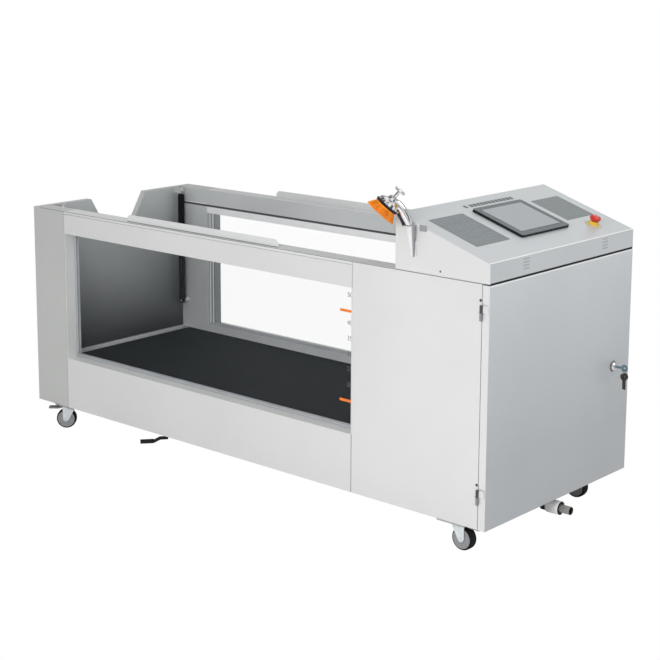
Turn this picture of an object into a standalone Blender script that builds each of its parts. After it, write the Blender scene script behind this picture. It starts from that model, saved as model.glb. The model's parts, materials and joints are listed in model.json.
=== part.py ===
"""A dog underwater treadmill: a steel tank on casters with two windows, a ramp door, a walking belt,
and a machine room with a sloping console, a shower and a drain.

The long side with the shower is the front and faces -Y. The ramp is at the -X end and the service door
at the +X end. The origin is on the floor under the middle of the bounding box. All sizes are in metres.
"""

import math

import bmesh
import bpy
from mathutils import Matrix, Vector

# Overall body
BODY_LENGTH = 2.240
BODY_WIDTH = 0.850
BODY_HEIGHT = 0.800
BODY_CLEARANCE = 0.100  # floor to the body's lower edge
RIGHT_OVERHANG = 0.060  # the lock and its keys past the service door
LEFT_OVERHANG = 0.012  # the ramp hinge past the end
FRONT_OVERHANG = 0.134  # the shower's pad past the front
GAP = 0.0003  # between pieces that touch

# Walls
WALL = 0.065
SHEET = 0.003
POST_LENGTH = 0.190
CABINET_LENGTH = 0.560
WINDOW_SILL = 0.205
WINDOW_DROP = 0.090  # the beam over the window
RAIL_THICKNESS = 0.010
RAIL_SHADOW = 0.002  # the dark line under the rail's outer edge
LIP_START = 0.550
LIP_LENGTH = 0.785
LIP_HEIGHT = 0.027
LIP_SETBACK = 0.012
LIP_FLANGE = 0.016
LIP_CORNER = 0.020
GLASS = 0.010
GLASS_RECESS = 0.050
GLASS_BITE = 0.006  # how far the pane's edge goes into its gasket
GASKET_WIDTH = 0.010
GASKET_LIP = 0.003

# Base, tub and belt
TUBE = 0.040
TUBE_DROP = 0.003  # the base frame's underside below the panels' edge
BAYS = 4
CASTER_PLATE = 0.006
CASTER_PLATE_LENGTH = 0.110
CASTER_PLATE_WIDTH = 0.090
MACHINE_ROOM = 0.375  # bulkhead to the body's right end
BELT_TOP = 0.180
BEAM_SIDE_GAP = 0.002  # between a beam and the tub's liner
BELT_THICKNESS = 0.003
BELT_START = 0.055
BELT_END_GAP = 0.060  # belt to bulkhead
BELT_RUNNING_GAP = 0.0005
ROLLER_RADIUS = 0.037
ROLLER_SHAFT_RADIUS = 0.010
DECK_THICKNESS = 0.016
DECK_GAP = 0.0005
BEAM_WIDTH = 0.013
BEAM_DROP = 0.004  # beam tops below the belt's top
BEAM_OVERRUN = 0.012
BELT_EDGE_GAP = 0.002
BORE_GAP = 0.0006

# Ramp end
END_SILL_HEIGHT = 0.176
END_SILL_DEPTH = 0.032
RAMP_THICKNESS = 0.028
RAMP_SIDE_GAP = 0.0015
RAMP_FOOT_GAP = 0.004
NOTCH_TOP_WIDTH = 0.300
NOTCH_BOTTOM_WIDTH = 0.120
NOTCH_DEPTH = 0.150
RAMP_HINGE_RADIUS = 0.0055
RAMP_KNUCKLES = 7
KNUCKLE_GAP = 0.001
HINGE_WEB = 0.005

# Struts beside the ramp
STRUT_INSET = 0.098  # from the wall's outer face
STRUT_INBOARD = 0.066
STRUT_FOOT_RISE = 0.120
STRUT_HEAD_DROP = 0.012  # below the body's top
STRUT_RADIUS = 0.014
STRUT_ROD_SHOWS = 0.018  # bare rod at rest
STRUT_ROD_RADIUS = 0.005
STRUT_ROD_HOLD = 0.260  # rod inside the tube at rest
STRUT_EYE_RADIUS = 0.011
STRUT_EYE_WIDTH = 0.014
STRUT_PIN_RADIUS = 0.004
STRUT_BOSS_RADIUS = 0.010
RAMP_BRACKET_WIDTH = 0.005

# Console
CONSOLE_LENGTH = 0.375
FASCIA_HEIGHT = 0.065
CONSOLE_PEAK = 0.185
BEZEL_SIZE = (0.215, 0.280)
BEZEL_PLACE = (0.2045, 0.444)
BEZEL_DEPTH = 0.010
BEZEL_CORNER = 0.008
SCREEN_SIZE = (0.172, 0.236)
SCREEN_SHIFT = 0.002
SCREEN_SINK = 0.0015
STOP_PLACE = (0.080, 0.710)
STOP_COLLAR_RADIUS = 0.016
STOP_LEGEND_RADIUS = 0.029
STOP_LEGEND_THICKNESS = 0.0015
STOP_COLLAR_HEIGHT = 0.014
STOP_CAP_RADIUS = 0.020
STOP_CAP_HEIGHT = 0.014
STOP_CAP_PROFILE = ((0.9, 0.0), (1.0, 0.3), (0.95, 0.7), (0.6, 1.0))  # shares of its radius and height
STOP_STEM_RADIUS = 0.009
STOP_TRAVEL = 0.005

# Service door
DOOR_THICKNESS = 0.027
DOOR_GAP = 0.002
DOOR_TOP_GAP = 0.004
DOOR_HINGE_SETBACK = 0.028
DOOR_HINGE_PROUD = 0.0055
DOOR_HINGE_RADIUS = 0.005
UPPER_HINGE_DROP = 0.117  # below the body's top
LOWER_HINGE = 0.085
HINGE_LENGTH = 0.050
HINGE_LEAF_WIDTH = 0.014
HINGE_LEAF = 0.003
HINGE_PIN_RADIUS = 0.002
LOCK_INSET = 0.105
LOCK_HEIGHT = 0.395
LOCK_RADIUS = 0.015
LOCK_BARREL_RADIUS = 0.011
LOCK_PLUG_RADIUS = 0.007
LOCK_PROUD = 0.012
LOCK_HOUSING_LENGTH = 0.034
LOCK_CAM = 0.003
LOCK_CAM_LENGTH = 0.052
KEY_BOW = 0.026
KEY_HOLE_RADIUS = 0.004
KEY_BLADE = 0.008
KEY_THICKNESS = 0.0024
KEY_RING_RADIUS = 0.011
KEY_WIRE = 0.0010

# Shower
CUP_PLACE = (0.299, 0.008)  # from the right end, and out from the front face, at the cup's tip
CUP_TILT = 7.5
CUP_TIP_HEIGHT = 0.052
CUP_LENGTH = 0.104
CUP_RIM_RADIUS = 0.0175
CUP_TIP_RADIUS = 0.006
CUP_WALL = 0.002
CUP_PLATE = (0.024, 0.050)
SHOWER_YAW = -139.3  # degrees, the way the shower's head leans out from the cup
HANDLE_PATH = [  # out along the lean, above the body's top, radius
    (-0.003, 0.108, 0.0060),
    (0.001, 0.150, 0.0105),
    (0.006, 0.164, 0.0130),
    (0.014, 0.183, 0.0150),
    (0.025, 0.202, 0.0150),
    (0.040, 0.220, 0.0155),
    (0.058, 0.233, 0.0125),
]
GRIP_SPAN = (0.167, 0.207)
GRIP_THICKNESS = 0.0048
GRIP_SIDE = -37  # degrees, the side of the handle that the grip is on
HANDLE_RADIUS = 0.015
HEAD_REACH = 0.074
HEAD_RISE = 0.218
HEAD_TILT = 41.1  # degrees that the pad faces away from straight down
HEAD_RADIUS = 0.038
HEAD_SHOULDER_RADIUS = 0.0327
HEAD_SHOULDER = 0.010
HEAD_WAIST_RADIUS = 0.0182
HEAD_WAIST = 0.018
HEAD_NECK_RADIUS = 0.014
HEAD_DEPTH = 0.028
RING_RADIUS = 0.041
RING_THICKNESS = 0.009
PAD_ROOT_RADIUS = 0.036
PAD_RADIUS = 0.053
PAD_LENGTH = 0.028
PAD_BACKING = 0.003
BRISTLE_ROWS = 10
BRISTLE_RADIUS = 0.0010
BRISTLE_SIDES = 3
KNOB_RADIUS = 0.0195
KNOB_THICKNESS = 0.008
KNOB_HEIGHT = 0.062
KNOB_STEM_RADIUS = 0.006
KNOB_STEM_SEAT = 0.004

# Casters
LEFT_CASTER_END = 0.155
RIGHT_CASTER_END = 0.138
FRONT_CASTER_INSET = 0.048
REAR_CASTER_INSET = 0.130
WHEEL_RADIUS = 0.040
WHEEL_WIDTH = 0.033
TREAD_SHOULDER = 0.004
CASTER_TRAIL = 0.025
CASTER_YAWS = {  # degrees, the way each fork trails at rest
    "front_left_caster": 221,
    "front_right_caster": 0,
    "rear_left_caster": 180,
    "rear_right_caster": 0,
}
FORK_SHEET = 0.003
FORK_SIDE_GAP = 0.002
FORK_RACE = 0.006
FORK_RACE_RADIUS = 0.030
FORK_CROWN = 0.011
FORK_LEG = 0.013  # half a leg's width at the axle
FORK_FOOT = 0.0104  # below the axle
AXLE_RADIUS = 0.006
AXLE_GAP = 0.0006
PEDAL_WIDTH = 0.030
PEDAL_START = 0.0395
PEDAL_BEND = 0.062
PEDAL_END = 0.096
PEDAL_THICKNESS = 0.006
PEDAL_FALL = 0.003

# Drain
VALVE_PLACE = (0.645, 0.105)
VALVE_LENGTH = 0.080
VALVE_RADIUS = 0.015
VALVE_DROP = 0.0205
VALVE_STEM_RADIUS = 0.006
PIPE_RADIUS = 0.010
PIPE_REACH = 0.083
PIPE_ASIDE = 0.140
PIPE_BEND = 0.012
LEVER_LENGTH = 0.096
LEVER_WIDTH = 0.020
LEVER_SHEET = 0.008
LEVER_YAW = -129.3  # degrees, the way the lever points at rest
LEVER_HUB_DROP = 0.050
LEVER_CRANK = 0.011
LEVER_GRIP_START = 0.045
OUTLET_PLACE = 0.450
OUTLET_DROP = 0.044
OUTLET_RADIUS = 0.014
OUTLET_BORE = 0.011
OUTLET_START = 0.190
OUTLET_REACH = 0.035
UNION_RADIUS = 0.0235
UNION_SPAN = (0.055, 0.005)  # from the right end
CLAMP_RADIUS = 0.020
CLAMP_SPAN = (0.078, 0.060)

# Machine room
PUMP_PLACE = (0.150, 0.230)  # from the bulkhead and from the front wall's inner face
PUMP_HEIGHT = 0.095
MOTOR_RADIUS = 0.065
MOTOR_LENGTH = 0.170
VOLUTE_RADIUS = 0.080
VOLUTE_LENGTH = 0.060
PUMP_FOOT = (0.150, 0.260, 0.006)
FILTER_PLACE = (0.170, 0.520)
FILTER_RADIUS = 0.090
FILTER_HEIGHT = 0.430
FILTER_LID = 0.030
CONTROL_BOX_SIZE = (0.110, 0.320, 0.240)
CONTROL_BOX_PLACE = (0.200, 0.500)  # from the front wall's inner face, and above the body's lower edge

# Places worked out from the sizes above
LEFT = -(BODY_LENGTH + RIGHT_OVERHANG - LEFT_OVERHANG) / 2
RIGHT = LEFT + BODY_LENGTH
FRONT = -(BODY_WIDTH - FRONT_OVERHANG) / 2
REAR = FRONT + BODY_WIDTH
MIDDLE = (FRONT + REAR) / 2
BOTTOM = BODY_CLEARANCE
TOP = BOTTOM + BODY_HEIGHT
INNER_FRONT = FRONT + WALL
INNER_REAR = REAR - WALL
WINDOW_LEFT = LEFT + POST_LENGTH
WINDOW_RIGHT = RIGHT - CABINET_LENGTH
BULKHEAD = RIGHT - MACHINE_ROOM
DOOR_INNER = RIGHT - DOOR_THICKNESS


def paint(name, colour, roughness, metallic=0.0, alpha=1.0):
    """A Principled material in one colour."""
    material = bpy.data.materials.new(name)
    material.use_nodes = True
    shader = material.node_tree.nodes["Principled BSDF"]
    shader.inputs["Base Color"].default_value = (*colour, 1.0)
    shader.inputs["Roughness"].default_value = roughness
    shader.inputs["Metallic"].default_value = metallic
    shader.inputs["Alpha"].default_value = alpha
    return material


def clear_scene():
    for item in list(bpy.data.objects):
        bpy.data.objects.remove(item, do_unlink=True)


clear_scene()

PANEL = paint("light_panel", (0.74, 0.75, 0.77), 0.42)
POST_PANEL = paint("post_panel", (0.66, 0.67, 0.69), 0.42)
LINER = paint("liner", (0.55, 0.58, 0.62), 0.45)
DOOR_GREY = paint("door_grey", (0.44, 0.46, 0.48), 0.45)
CONSOLE_GREY = paint("console_grey", (0.55, 0.58, 0.61), 0.40)
GALVANISED = paint("galvanised", (0.55, 0.56, 0.57), 0.40, 0.9)
STEEL = paint("brushed_steel", (0.62, 0.62, 0.63), 0.30, 1.0)
CHROME = paint("chrome", (0.80, 0.80, 0.81), 0.12, 1.0)
BRASS = paint("brass", (0.70, 0.52, 0.25), 0.30, 1.0)
PANE = paint("pane", (0.80, 0.86, 0.88), 0.05, 0.0, 0.35)
SEAL = paint("seal", (0.10, 0.10, 0.11), 0.70)
BELT_RUBBER = paint("belt_rubber", (0.05, 0.05, 0.055), 0.80)
BLACK = paint("black_plastic", (0.03, 0.03, 0.03), 0.45)
BEZEL_GREY = paint("bezel_grey", (0.08, 0.10, 0.12), 0.35)
SCREEN_GREY = paint("screen_grey", (0.40, 0.43, 0.46), 0.15)
YELLOW = paint("stop_yellow", (0.85, 0.60, 0.06), 0.45)
RED = paint("stop_red", (0.60, 0.02, 0.02), 0.35)
ORANGE = paint("bristle_orange", (0.95, 0.30, 0.02), 0.50)
WHITE = paint("white_plastic", (0.80, 0.80, 0.78), 0.45)
WHEEL_GREY = paint("wheel_grey", (0.22, 0.22, 0.23), 0.60)
PUMP_BLUE = paint("pump_blue", (0.05, 0.14, 0.35), 0.45)


def pivot(name, place, turn=(0.0, 0.0, 0.0), parent=None):
    """An empty that carries pieces: a joint's axis or a sloping face."""
    empty = bpy.data.objects.new(name, None)
    bpy.context.scene.collection.objects.link(empty)
    empty.parent = parent
    empty.location = place
    empty.rotation_euler = [math.radians(angle) for angle in turn]
    return empty


def place_of(thing):
    """An object's place in the world, before any update."""
    own = Matrix.LocRotScale(thing.location, thing.rotation_euler, None)
    return place_of(thing.parent) @ thing.matrix_parent_inverse @ own if thing.parent else own


def hang(piece, carrier):
    """Parents a piece to an empty and leaves it where it is."""
    piece.parent = carrier
    piece.matrix_parent_inverse = place_of(carrier).inverted()
    return piece


def finish_mesh(name, mesh, material, parent=None, smooth=False):
    bmesh.ops.recalc_face_normals(mesh, faces=mesh.faces)
    data = bpy.data.meshes.new(name)
    mesh.to_mesh(data)
    mesh.free()
    data.materials.append(material)
    if smooth:
        data.shade_smooth()
        data.set_sharp_from_angle(angle=math.radians(35))
    piece = bpy.data.objects.new(name, data)
    bpy.context.scene.collection.objects.link(piece)
    piece.parent = parent
    return piece


def block(name, low, high, material=PANEL, parent=None):
    """A box between two opposite corners."""
    mesh = bmesh.new()
    bmesh.ops.create_cube(mesh, size=1.0)
    low, high = Vector(low), Vector(high)
    size = high - low
    for vert in mesh.verts:
        vert.co = Vector(low[i] + (vert.co[i] + 0.5) * size[i] for i in range(3))
    return finish_mesh(name, mesh, material, parent)


def on_axis(axis, first, second, along):
    """A point from two coordinates across an axis and one along it."""
    if axis == "X":
        return Vector((along, first, second))
    if axis == "Y":
        return Vector((first, along, second))
    return Vector((first, second, along))


def prism(name, outline, span, axis="Y", material=PANEL, parent=None, hole=None):
    """An outline extruded along an axis, with a hole of as many corners through it if one is given."""
    mesh = bmesh.new()
    loops = []
    for corners in (outline, hole) if hole else (outline,):
        loops.append([
            [mesh.verts.new(on_axis(axis, *corner, along)) for corner in corners] for along in span
        ])
    count = len(outline)
    for near, far in loops:
        for i in range(count):
            j = (i + 1) % count
            mesh.faces.new((near[i], near[j], far[j], far[i]))
    if hole:
        for end in (0, 1):
            outer, inner = loops[0][end], loops[1][end]
            for i in range(count):
                j = (i + 1) % count
                mesh.faces.new((outer[i], outer[j], inner[j], inner[i]))
    else:
        mesh.faces.new(loops[0][0])
        mesh.faces.new(loops[0][1])
    return finish_mesh(name, mesh, material, parent)


def rectangle(low, high):
    return [(low[0], low[1]), (high[0], low[1]), (high[0], high[1]), (low[0], high[1])]


def rounded(low, high, radius, steps=4, corners=(0, 1, 2, 3)):
    """A rectangle with arcs at the corners named, counted from the lowest and turning with the outline."""
    centres = rectangle((low[0] + radius, low[1] + radius), (high[0] - radius, high[1] - radius))
    sharp = rectangle(low, high)
    outline = []
    for corner in range(4):
        if corner not in corners:
            outline.append(sharp[corner])
            continue
        for step in range(steps + 1):
            angle = math.radians(180 + 90 * corner + 90 * step / steps)
            outline.append((
                centres[corner][0] + radius * math.cos(angle),
                centres[corner][1] + radius * math.sin(angle),
            ))
    return outline


def circle(centre, radius, sides=24, start=0.0):
    return [
        (
            centre[0] + radius * math.cos(start + 2 * math.pi * step / sides),
            centre[1] + radius * math.sin(start + 2 * math.pi * step / sides),
        )
        for step in range(sides)
    ]


def turned(name, profile, material=STEEL, parent=None, sides=24, axis="Z", centre=(0.0, 0.0, 0.0)):
    """A profile of (radius, height) corners turned about an axis. It starts and ends on the axis,
    or else it is a closed ring."""
    mesh = bmesh.new()
    rings = []
    for radius, height in profile:
        if radius < 1e-6:
            rings.append([mesh.verts.new(on_axis(axis, 0.0, 0.0, height))])
        else:
            corners = circle((0, 0), radius, sides)
            rings.append([mesh.verts.new(on_axis(axis, *corner, height)) for corner in corners])
    pairs = list(zip(rings, rings[1:]))
    if len(rings[0]) > 1 and len(rings[-1]) > 1:
        pairs.append((rings[-1], rings[0]))
    for lower, upper in pairs:
        for i in range(sides):
            j = (i + 1) % sides
            if len(lower) == 1:
                mesh.faces.new((lower[0], upper[i], upper[j]))
            elif len(upper) == 1:
                mesh.faces.new((lower[i], lower[j], upper[0]))
            else:
                mesh.faces.new((lower[i], lower[j], upper[j], upper[i]))
    for vert in mesh.verts:
        vert.co += Vector(centre)
    return finish_mesh(name, mesh, material, parent, smooth=True)


def cylinder(name, centre, radius, span, axis="Z", material=STEEL, parent=None, sides=24):
    """A plain cylinder along an axis, between two places on it."""
    profile = [(0.0, span[0]), (radius, span[0]), (radius, span[1]), (0.0, span[1])]
    base = Vector(centre)
    base["XYZ".index(axis)] = 0.0
    return turned(name, profile, material, parent, sides, axis, base)


def swept(name, points, radii, material=STEEL, parent=None, sides=12):
    """A round bar along points, with its own radius at each."""
    mesh = bmesh.new()
    points = [Vector(point) for point in points]
    rings = []
    side = None
    for i, point in enumerate(points):
        ahead = (points[min(i + 1, len(points) - 1)] - points[max(i - 1, 0)]).normalized()
        side = ahead.orthogonal() if side is None else side - ahead * side.dot(ahead)
        side.normalize()
        other = ahead.cross(side)
        rings.append([
            mesh.verts.new(point + radii[i] * (side * math.cos(angle) + other * math.sin(angle)))
            for angle in (2 * math.pi * step / sides for step in range(sides))
        ])
    for lower, upper in zip(rings, rings[1:]):
        for i in range(sides):
            j = (i + 1) % sides
            mesh.faces.new((lower[i], lower[j], upper[j], upper[i]))
    mesh.faces.new(rings[0])
    mesh.faces.new(rings[-1])
    return finish_mesh(name, mesh, material, parent, smooth=True)


def combine(piece, others, operation):
    """Cuts other solids out of a piece, or joins them to it, and leaves them behind as guides."""
    for other in others:
        change = piece.modifiers.new(other.name, "BOOLEAN")
        change.operation = operation
        change.object = other
        change.solver = "EXACT"
        other.display_type = "WIRE"
        other.hide_render = True
    return piece


def cut(piece, *others):
    return combine(piece, others, "DIFFERENCE")


def fuse(piece, *others):
    return combine(piece, others, "UNION")


def for_walls(build):
    """Builds a piece of the front wall and its twin on the rear wall. The builder is given the wall's name
    and a function that turns a depth from the wall's outer face into a Y range."""
    for wall, outer, inwards in (("front", FRONT, 1), ("rear", REAR, -1)):
        def depths(near, far, outer=outer, inwards=inwards):
            return tuple(sorted((outer + inwards * near, outer + inwards * far)))
        build(wall, depths)


def pan(name, low, high, wall_depths, material, window=None):
    """A folded sheet panel of a wall, open towards the tank. Corners are (x, z). A window goes right
    through, and the sheet is folded in all round it."""
    depth = WALL - 2 * GAP
    panel = prism(
        name, rectangle(low, high), wall_depths(0, depth), material=material,
        hole=rectangle(*window) if window else None,
    )
    chambers = [(low[1], high[1])]
    if window:
        chambers = [(low[1], window[0][1]), (window[1][1], high[1])]
    for index, (bottom, top) in enumerate(chambers):
        corners = (low[0] + SHEET, bottom + SHEET), (high[0] - SHEET, top - SHEET)
        cut(panel, prism(f"{name}_chamber_{index}", rectangle(*corners), wall_depths(SHEET, depth + SHEET)))
    return panel


def build_base_frame():
    """A ladder of square tube with the caster plates and the machine room's shelf welded on."""
    low, high = BOTTOM - TUBE_DROP, BOTTOM + TUBE
    start, end = LEFT + END_SILL_DEPTH, DOOR_INNER - DOOR_GAP
    near, far = INNER_FRONT + 2 * GAP, INNER_REAR - 2 * GAP
    frame = prism(
        "base_frame", rectangle((start, near), (end, far)), (low, high), "Z", GALVANISED,
        hole=rectangle((start + TUBE, near + TUBE), (BULKHEAD - TUBE, far - TUBE)),
    )
    room = block("machine_bay", (BULKHEAD, near + TUBE, low - TUBE), (end - TUBE, far - TUBE, high - SHEET))
    cut(frame, room)
    pitch = (BULKHEAD - TUBE - start) / BAYS
    for bay in range(1, BAYS):
        middle = start + bay * pitch + TUBE / 2
        fuse(frame, block(f"cross_tube_{bay}", (middle - TUBE / 2, near + TUBE / 2, low + GAP),
                          (middle + TUBE / 2, far - TUBE / 2, high - GAP)))
    for name, x, y in caster_places():
        half_length, half_width = CASTER_PLATE_LENGTH / 2, CASTER_PLATE_WIDTH / 2
        fuse(frame, block(f"{name}_plate", (x - half_length, y - half_width, BOTTOM - CASTER_PLATE),
                          (x + half_length, y + half_width, BOTTOM - GAP)))
    return frame


def caster_places():
    return [
        ("front_left_caster", LEFT + LEFT_CASTER_END, FRONT + FRONT_CASTER_INSET),
        ("front_right_caster", RIGHT - RIGHT_CASTER_END, FRONT + FRONT_CASTER_INSET),
        ("rear_left_caster", LEFT + LEFT_CASTER_END, REAR - REAR_CASTER_INSET),
        ("rear_right_caster", RIGHT - RIGHT_CASTER_END, REAR - REAR_CASTER_INSET),
    ]


def build_tub():
    """The welded tub that holds the water: floor, liners with their window openings, bulkhead and end."""
    start = LEFT + END_SILL_DEPTH + GAP
    base = BOTTOM + TUBE + GAP
    near, far = INNER_FRONT, INNER_REAR
    tub = block("tank_tub", (start, near, base), (BULKHEAD, far, TOP), LINER)
    cavity = block(
        "tub_cavity",
        (start + SHEET, near + SHEET, base + SHEET),
        (BULKHEAD - SHEET, far - SHEET, TOP + WALL),
    )
    windows = prism(
        "tub_windows", rectangle((WINDOW_LEFT, BOTTOM + WINDOW_SILL), (WINDOW_RIGHT, TOP - WINDOW_DROP)),
        (FRONT, REAR),
    )
    doorway = block(
        "tub_doorway",
        (LEFT, near + SHEET, BOTTOM + END_SILL_HEIGHT),
        (start + WALL, far - SHEET, TOP + WALL),
    )
    cut(tub, cavity, windows, doorway)
    foot = ramp_axis() + Vector((0, 0, STRUT_FOOT_RISE))
    for wall, outer, inwards in (("front", FRONT, 1), ("rear", REAR, -1)):
        root = outer + inwards * (WALL + SHEET / 2)
        boss = sorted((root, outer + inwards * (STRUT_INSET - STRUT_RADIUS - KNUCKLE_GAP)))
        pin = sorted((root, outer + inwards * (STRUT_INSET + STRUT_EYE_WIDTH / 2)))
        place = (ramp_axis().x + STRUT_INBOARD, 0, foot.z)
        fuse(
            tub,
            cylinder(f"{wall}_strut_boss", place, STRUT_BOSS_RADIUS, boss, "Y", LINER, sides=12),
            cylinder(f"{wall}_strut_pin", place, STRUT_PIN_RADIUS, pin, "Y", LINER, sides=12),
        )
    return tub


def ramp_axis():
    """The ramp's hinge, just outside the end at the foot of the ramp."""
    return Vector((
        LEFT - LEFT_OVERHANG + RAMP_HINGE_RADIUS + GAP, MIDDLE, BOTTOM + END_SILL_HEIGHT + RAMP_FOOT_GAP / 2,
    ))


def knuckles(name, owner_is_ramp, material):
    """The ramp hinge's knuckles that belong to one leaf, each with its web."""
    axis = ramp_axis()
    length = (INNER_REAR - INNER_FRONT - 2 * RAMP_SIDE_GAP) / RAMP_KNUCKLES
    pieces = []
    for index in range(RAMP_KNUCKLES):
        if (index % 2 == 1) != owner_is_ramp:
            continue
        start = INNER_FRONT + RAMP_SIDE_GAP + index * length + KNUCKLE_GAP / 2
        end = start + length - KNUCKLE_GAP
        web_reach = RAMP_FOOT_GAP + HINGE_WEB
        web = (axis.z, axis.z + web_reach) if owner_is_ramp else (axis.z - web_reach, axis.z)
        pieces.append(cylinder(
            f"{name}_knuckle_{index}", axis, RAMP_HINGE_RADIUS, (start, end), "Y", material, sides=12,
        ))
        pieces.append(block(f"{name}_web_{index}", (axis.x - RAMP_HINGE_RADIUS / 2, start, web[0]),
                            (LEFT + SHEET / 2, end, web[1]), material))
    return pieces


def build_end_sill():
    low, high = (INNER_FRONT + GAP, BOTTOM), (INNER_REAR - GAP, BOTTOM + END_SILL_HEIGHT)
    sill = prism("end_sill_panel", rectangle(low, high), (LEFT, LEFT + END_SILL_DEPTH - GAP), "X")
    hollow = prism(
        "end_sill_hollow",
        rectangle((low[0] + SHEET, low[1] - SHEET), (high[0] - SHEET, high[1] - SHEET)),
        (LEFT + SHEET, LEFT + END_SILL_DEPTH + SHEET), "X",
    )
    cut(sill, hollow)
    return fuse(sill, *knuckles("sill", False, PANEL))


def build_wall_panel(wall, depths):
    window = [(WINDOW_LEFT + GAP, BOTTOM + WINDOW_SILL), (WINDOW_RIGHT - GAP, TOP - WINDOW_DROP)]
    low = (WINDOW_LEFT - SHEET, BOTTOM)
    high = (WINDOW_RIGHT + SHEET, TOP - RAIL_THICKNESS - RAIL_SHADOW)
    pan(f"{wall}_wall_panel", low, high, depths, PANEL, window)


def build_corner_post(wall, depths):
    """A closed post of folded sheet, open at its foot."""
    low, high = (LEFT, BOTTOM), (WINDOW_LEFT - SHEET - GAP, TOP)
    post = prism(f"{wall}_corner_post", rectangle(low, high), depths(0, WALL - GAP), material=POST_PANEL)
    cut(post, prism(
        f"{wall}_post_hollow",
        rectangle((low[0] + SHEET, low[1] - SHEET), (high[0] - SHEET, high[1] - SHEET)),
        depths(SHEET, WALL - GAP - SHEET),
    ))


def build_top_rail(wall, depths):
    """A cap on the wall, with a step under its outer edge that shows as a dark line."""
    low = TOP - RAIL_THICKNESS - RAIL_SHADOW + GAP
    rail = block(
        f"{wall}_top_rail",
        (WINDOW_LEFT - SHEET, depths(0, WALL - GAP)[0], low),
        (WINDOW_RIGHT + SHEET, depths(0, WALL - GAP)[1], TOP),
    )
    step = depths(-SHEET, RAIL_SHADOW)
    cut(rail, block(f"{wall}_rail_step", (LEFT, step[0], low - SHEET), (RIGHT, step[1], low + RAIL_SHADOW)))


def build_splash_lip(wall, depths):
    start, end = LEFT + LIP_START, LEFT + LIP_START + LIP_LENGTH
    base = TOP + GAP
    upright = prism(
        f"{wall}_splash_lip", rounded((start, base), (end, base + LIP_HEIGHT), LIP_CORNER, 5, (2, 3)),
        depths(LIP_SETBACK, LIP_SETBACK + SHEET),
    )
    flange = depths(LIP_SETBACK + SHEET / 2, LIP_SETBACK + LIP_FLANGE)
    fuse(upright, block(
        f"{wall}_lip_flange", (start + SHEET, flange[0], base), (end - SHEET, flange[1], base + SHEET),
    ))


def build_window(wall, depths):
    """A pane whose edge sits in a channel all round its gasket."""
    outer = [
        (WINDOW_LEFT + 2 * GAP, BOTTOM + WINDOW_SILL + GAP),
        (WINDOW_RIGHT - 2 * GAP, TOP - WINDOW_DROP - GAP),
    ]

    def inset(by):
        return rectangle((outer[0][0] + by, outer[0][1] + by), (outer[1][0] - by, outer[1][1] - by))

    gasket = prism(
        f"{wall}_gasket", inset(0), depths(GLASS_RECESS - GASKET_LIP, GLASS_RECESS + GLASS + GASKET_LIP),
        material=SEAL, hole=inset(GASKET_WIDTH),
    )
    channel = prism(
        f"{wall}_gasket_channel", inset(GASKET_WIDTH - GLASS_BITE - GAP),
        depths(GLASS_RECESS - GAP, GLASS_RECESS + GLASS + GAP), hole=inset(GASKET_WIDTH + SHEET),
    )
    cut(gasket, channel)
    prism(
        f"{wall}_glass", inset(GASKET_WIDTH - GLASS_BITE), depths(GLASS_RECESS, GLASS_RECESS + GLASS),
        material=PANE,
    )


def build_cabinet_panel(wall, depths):
    low, high = (WINDOW_RIGHT + SHEET + GAP, BOTTOM), (DOOR_INNER - DOOR_GAP - GAP, TOP)
    pan(f"{wall}_cabinet_panel", low, high, depths, PANEL)


build_base_frame()
build_tub()
build_end_sill()
for_walls(build_wall_panel)
for_walls(build_corner_post)
for_walls(build_top_rail)
for_walls(build_splash_lip)
for_walls(build_window)
for_walls(build_cabinet_panel)


def stadium(left, right, height, radius, steps=12):
    """Two half circles joined by straight runs, as a belt lies round its rollers."""
    outline = []
    for centre, start in ((right, -90), (left, 90)):
        for step in range(steps + 1):
            angle = math.radians(start + 180 * step / steps)
            outline.append((centre + radius * math.cos(angle), height + radius * math.sin(angle)))
    return outline


def build_ramp():
    """The ramp door, with its hinge knuckles and a bracket beside each strut's head."""
    axis = ramp_axis()
    near, far = INNER_FRONT + RAMP_SIDE_GAP, INNER_REAR - RAMP_SIDE_GAP
    low, high = BOTTOM + END_SILL_HEIGHT + RAMP_FOOT_GAP, TOP - GAP
    top_half, bottom_half = NOTCH_TOP_WIDTH / 2, NOTCH_BOTTOM_WIDTH / 2
    outline = [
        (near, low), (far, low), (far, high),
        (MIDDLE + top_half, high), (MIDDLE + bottom_half, high - NOTCH_DEPTH),
        (MIDDLE - bottom_half, high - NOTCH_DEPTH), (MIDDLE - top_half, high), (near, high),
    ]
    carrier = pivot("ramp_hinge", axis)
    ramp = prism("ramp_door", outline, (LEFT, LEFT + RAMP_THICKNESS), "X", PANEL)
    hang(ramp, carrier)
    fuse(ramp, *(hang(piece, carrier) for piece in knuckles("ramp", True, PANEL)))
    head = Vector((axis.x + STRUT_INBOARD, 0, TOP - STRUT_HEAD_DROP))
    for wall, outer, inwards in (("front", FRONT, 1), ("rear", REAR, -1)):
        beside = outer + inwards * (STRUT_INSET + STRUT_EYE_WIDTH / 2 + KNUCKLE_GAP)
        ends = sorted((beside, beside + inwards * RAMP_BRACKET_WIDTH))
        bracket = block(
            f"{wall}_ramp_bracket", (LEFT + RAMP_THICKNESS - SHEET, ends[0], head.z - STRUT_EYE_RADIUS),
            (head.x + STRUT_EYE_RADIUS, ends[1], head.z + STRUT_EYE_RADIUS), PANEL,
        )
        fuse(ramp, hang(bracket, carrier))
    return ramp


def eye(name, x, y, z, bore, material):
    """A flat eye whose hole runs along Y."""
    span = (y - STRUT_EYE_WIDTH / 2, y + STRUT_EYE_WIDTH / 2)
    return prism(
        name, circle((x, z), STRUT_EYE_RADIUS, 16), span, "Y", material, hole=circle((x, z), bore, 16),
    )


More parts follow.
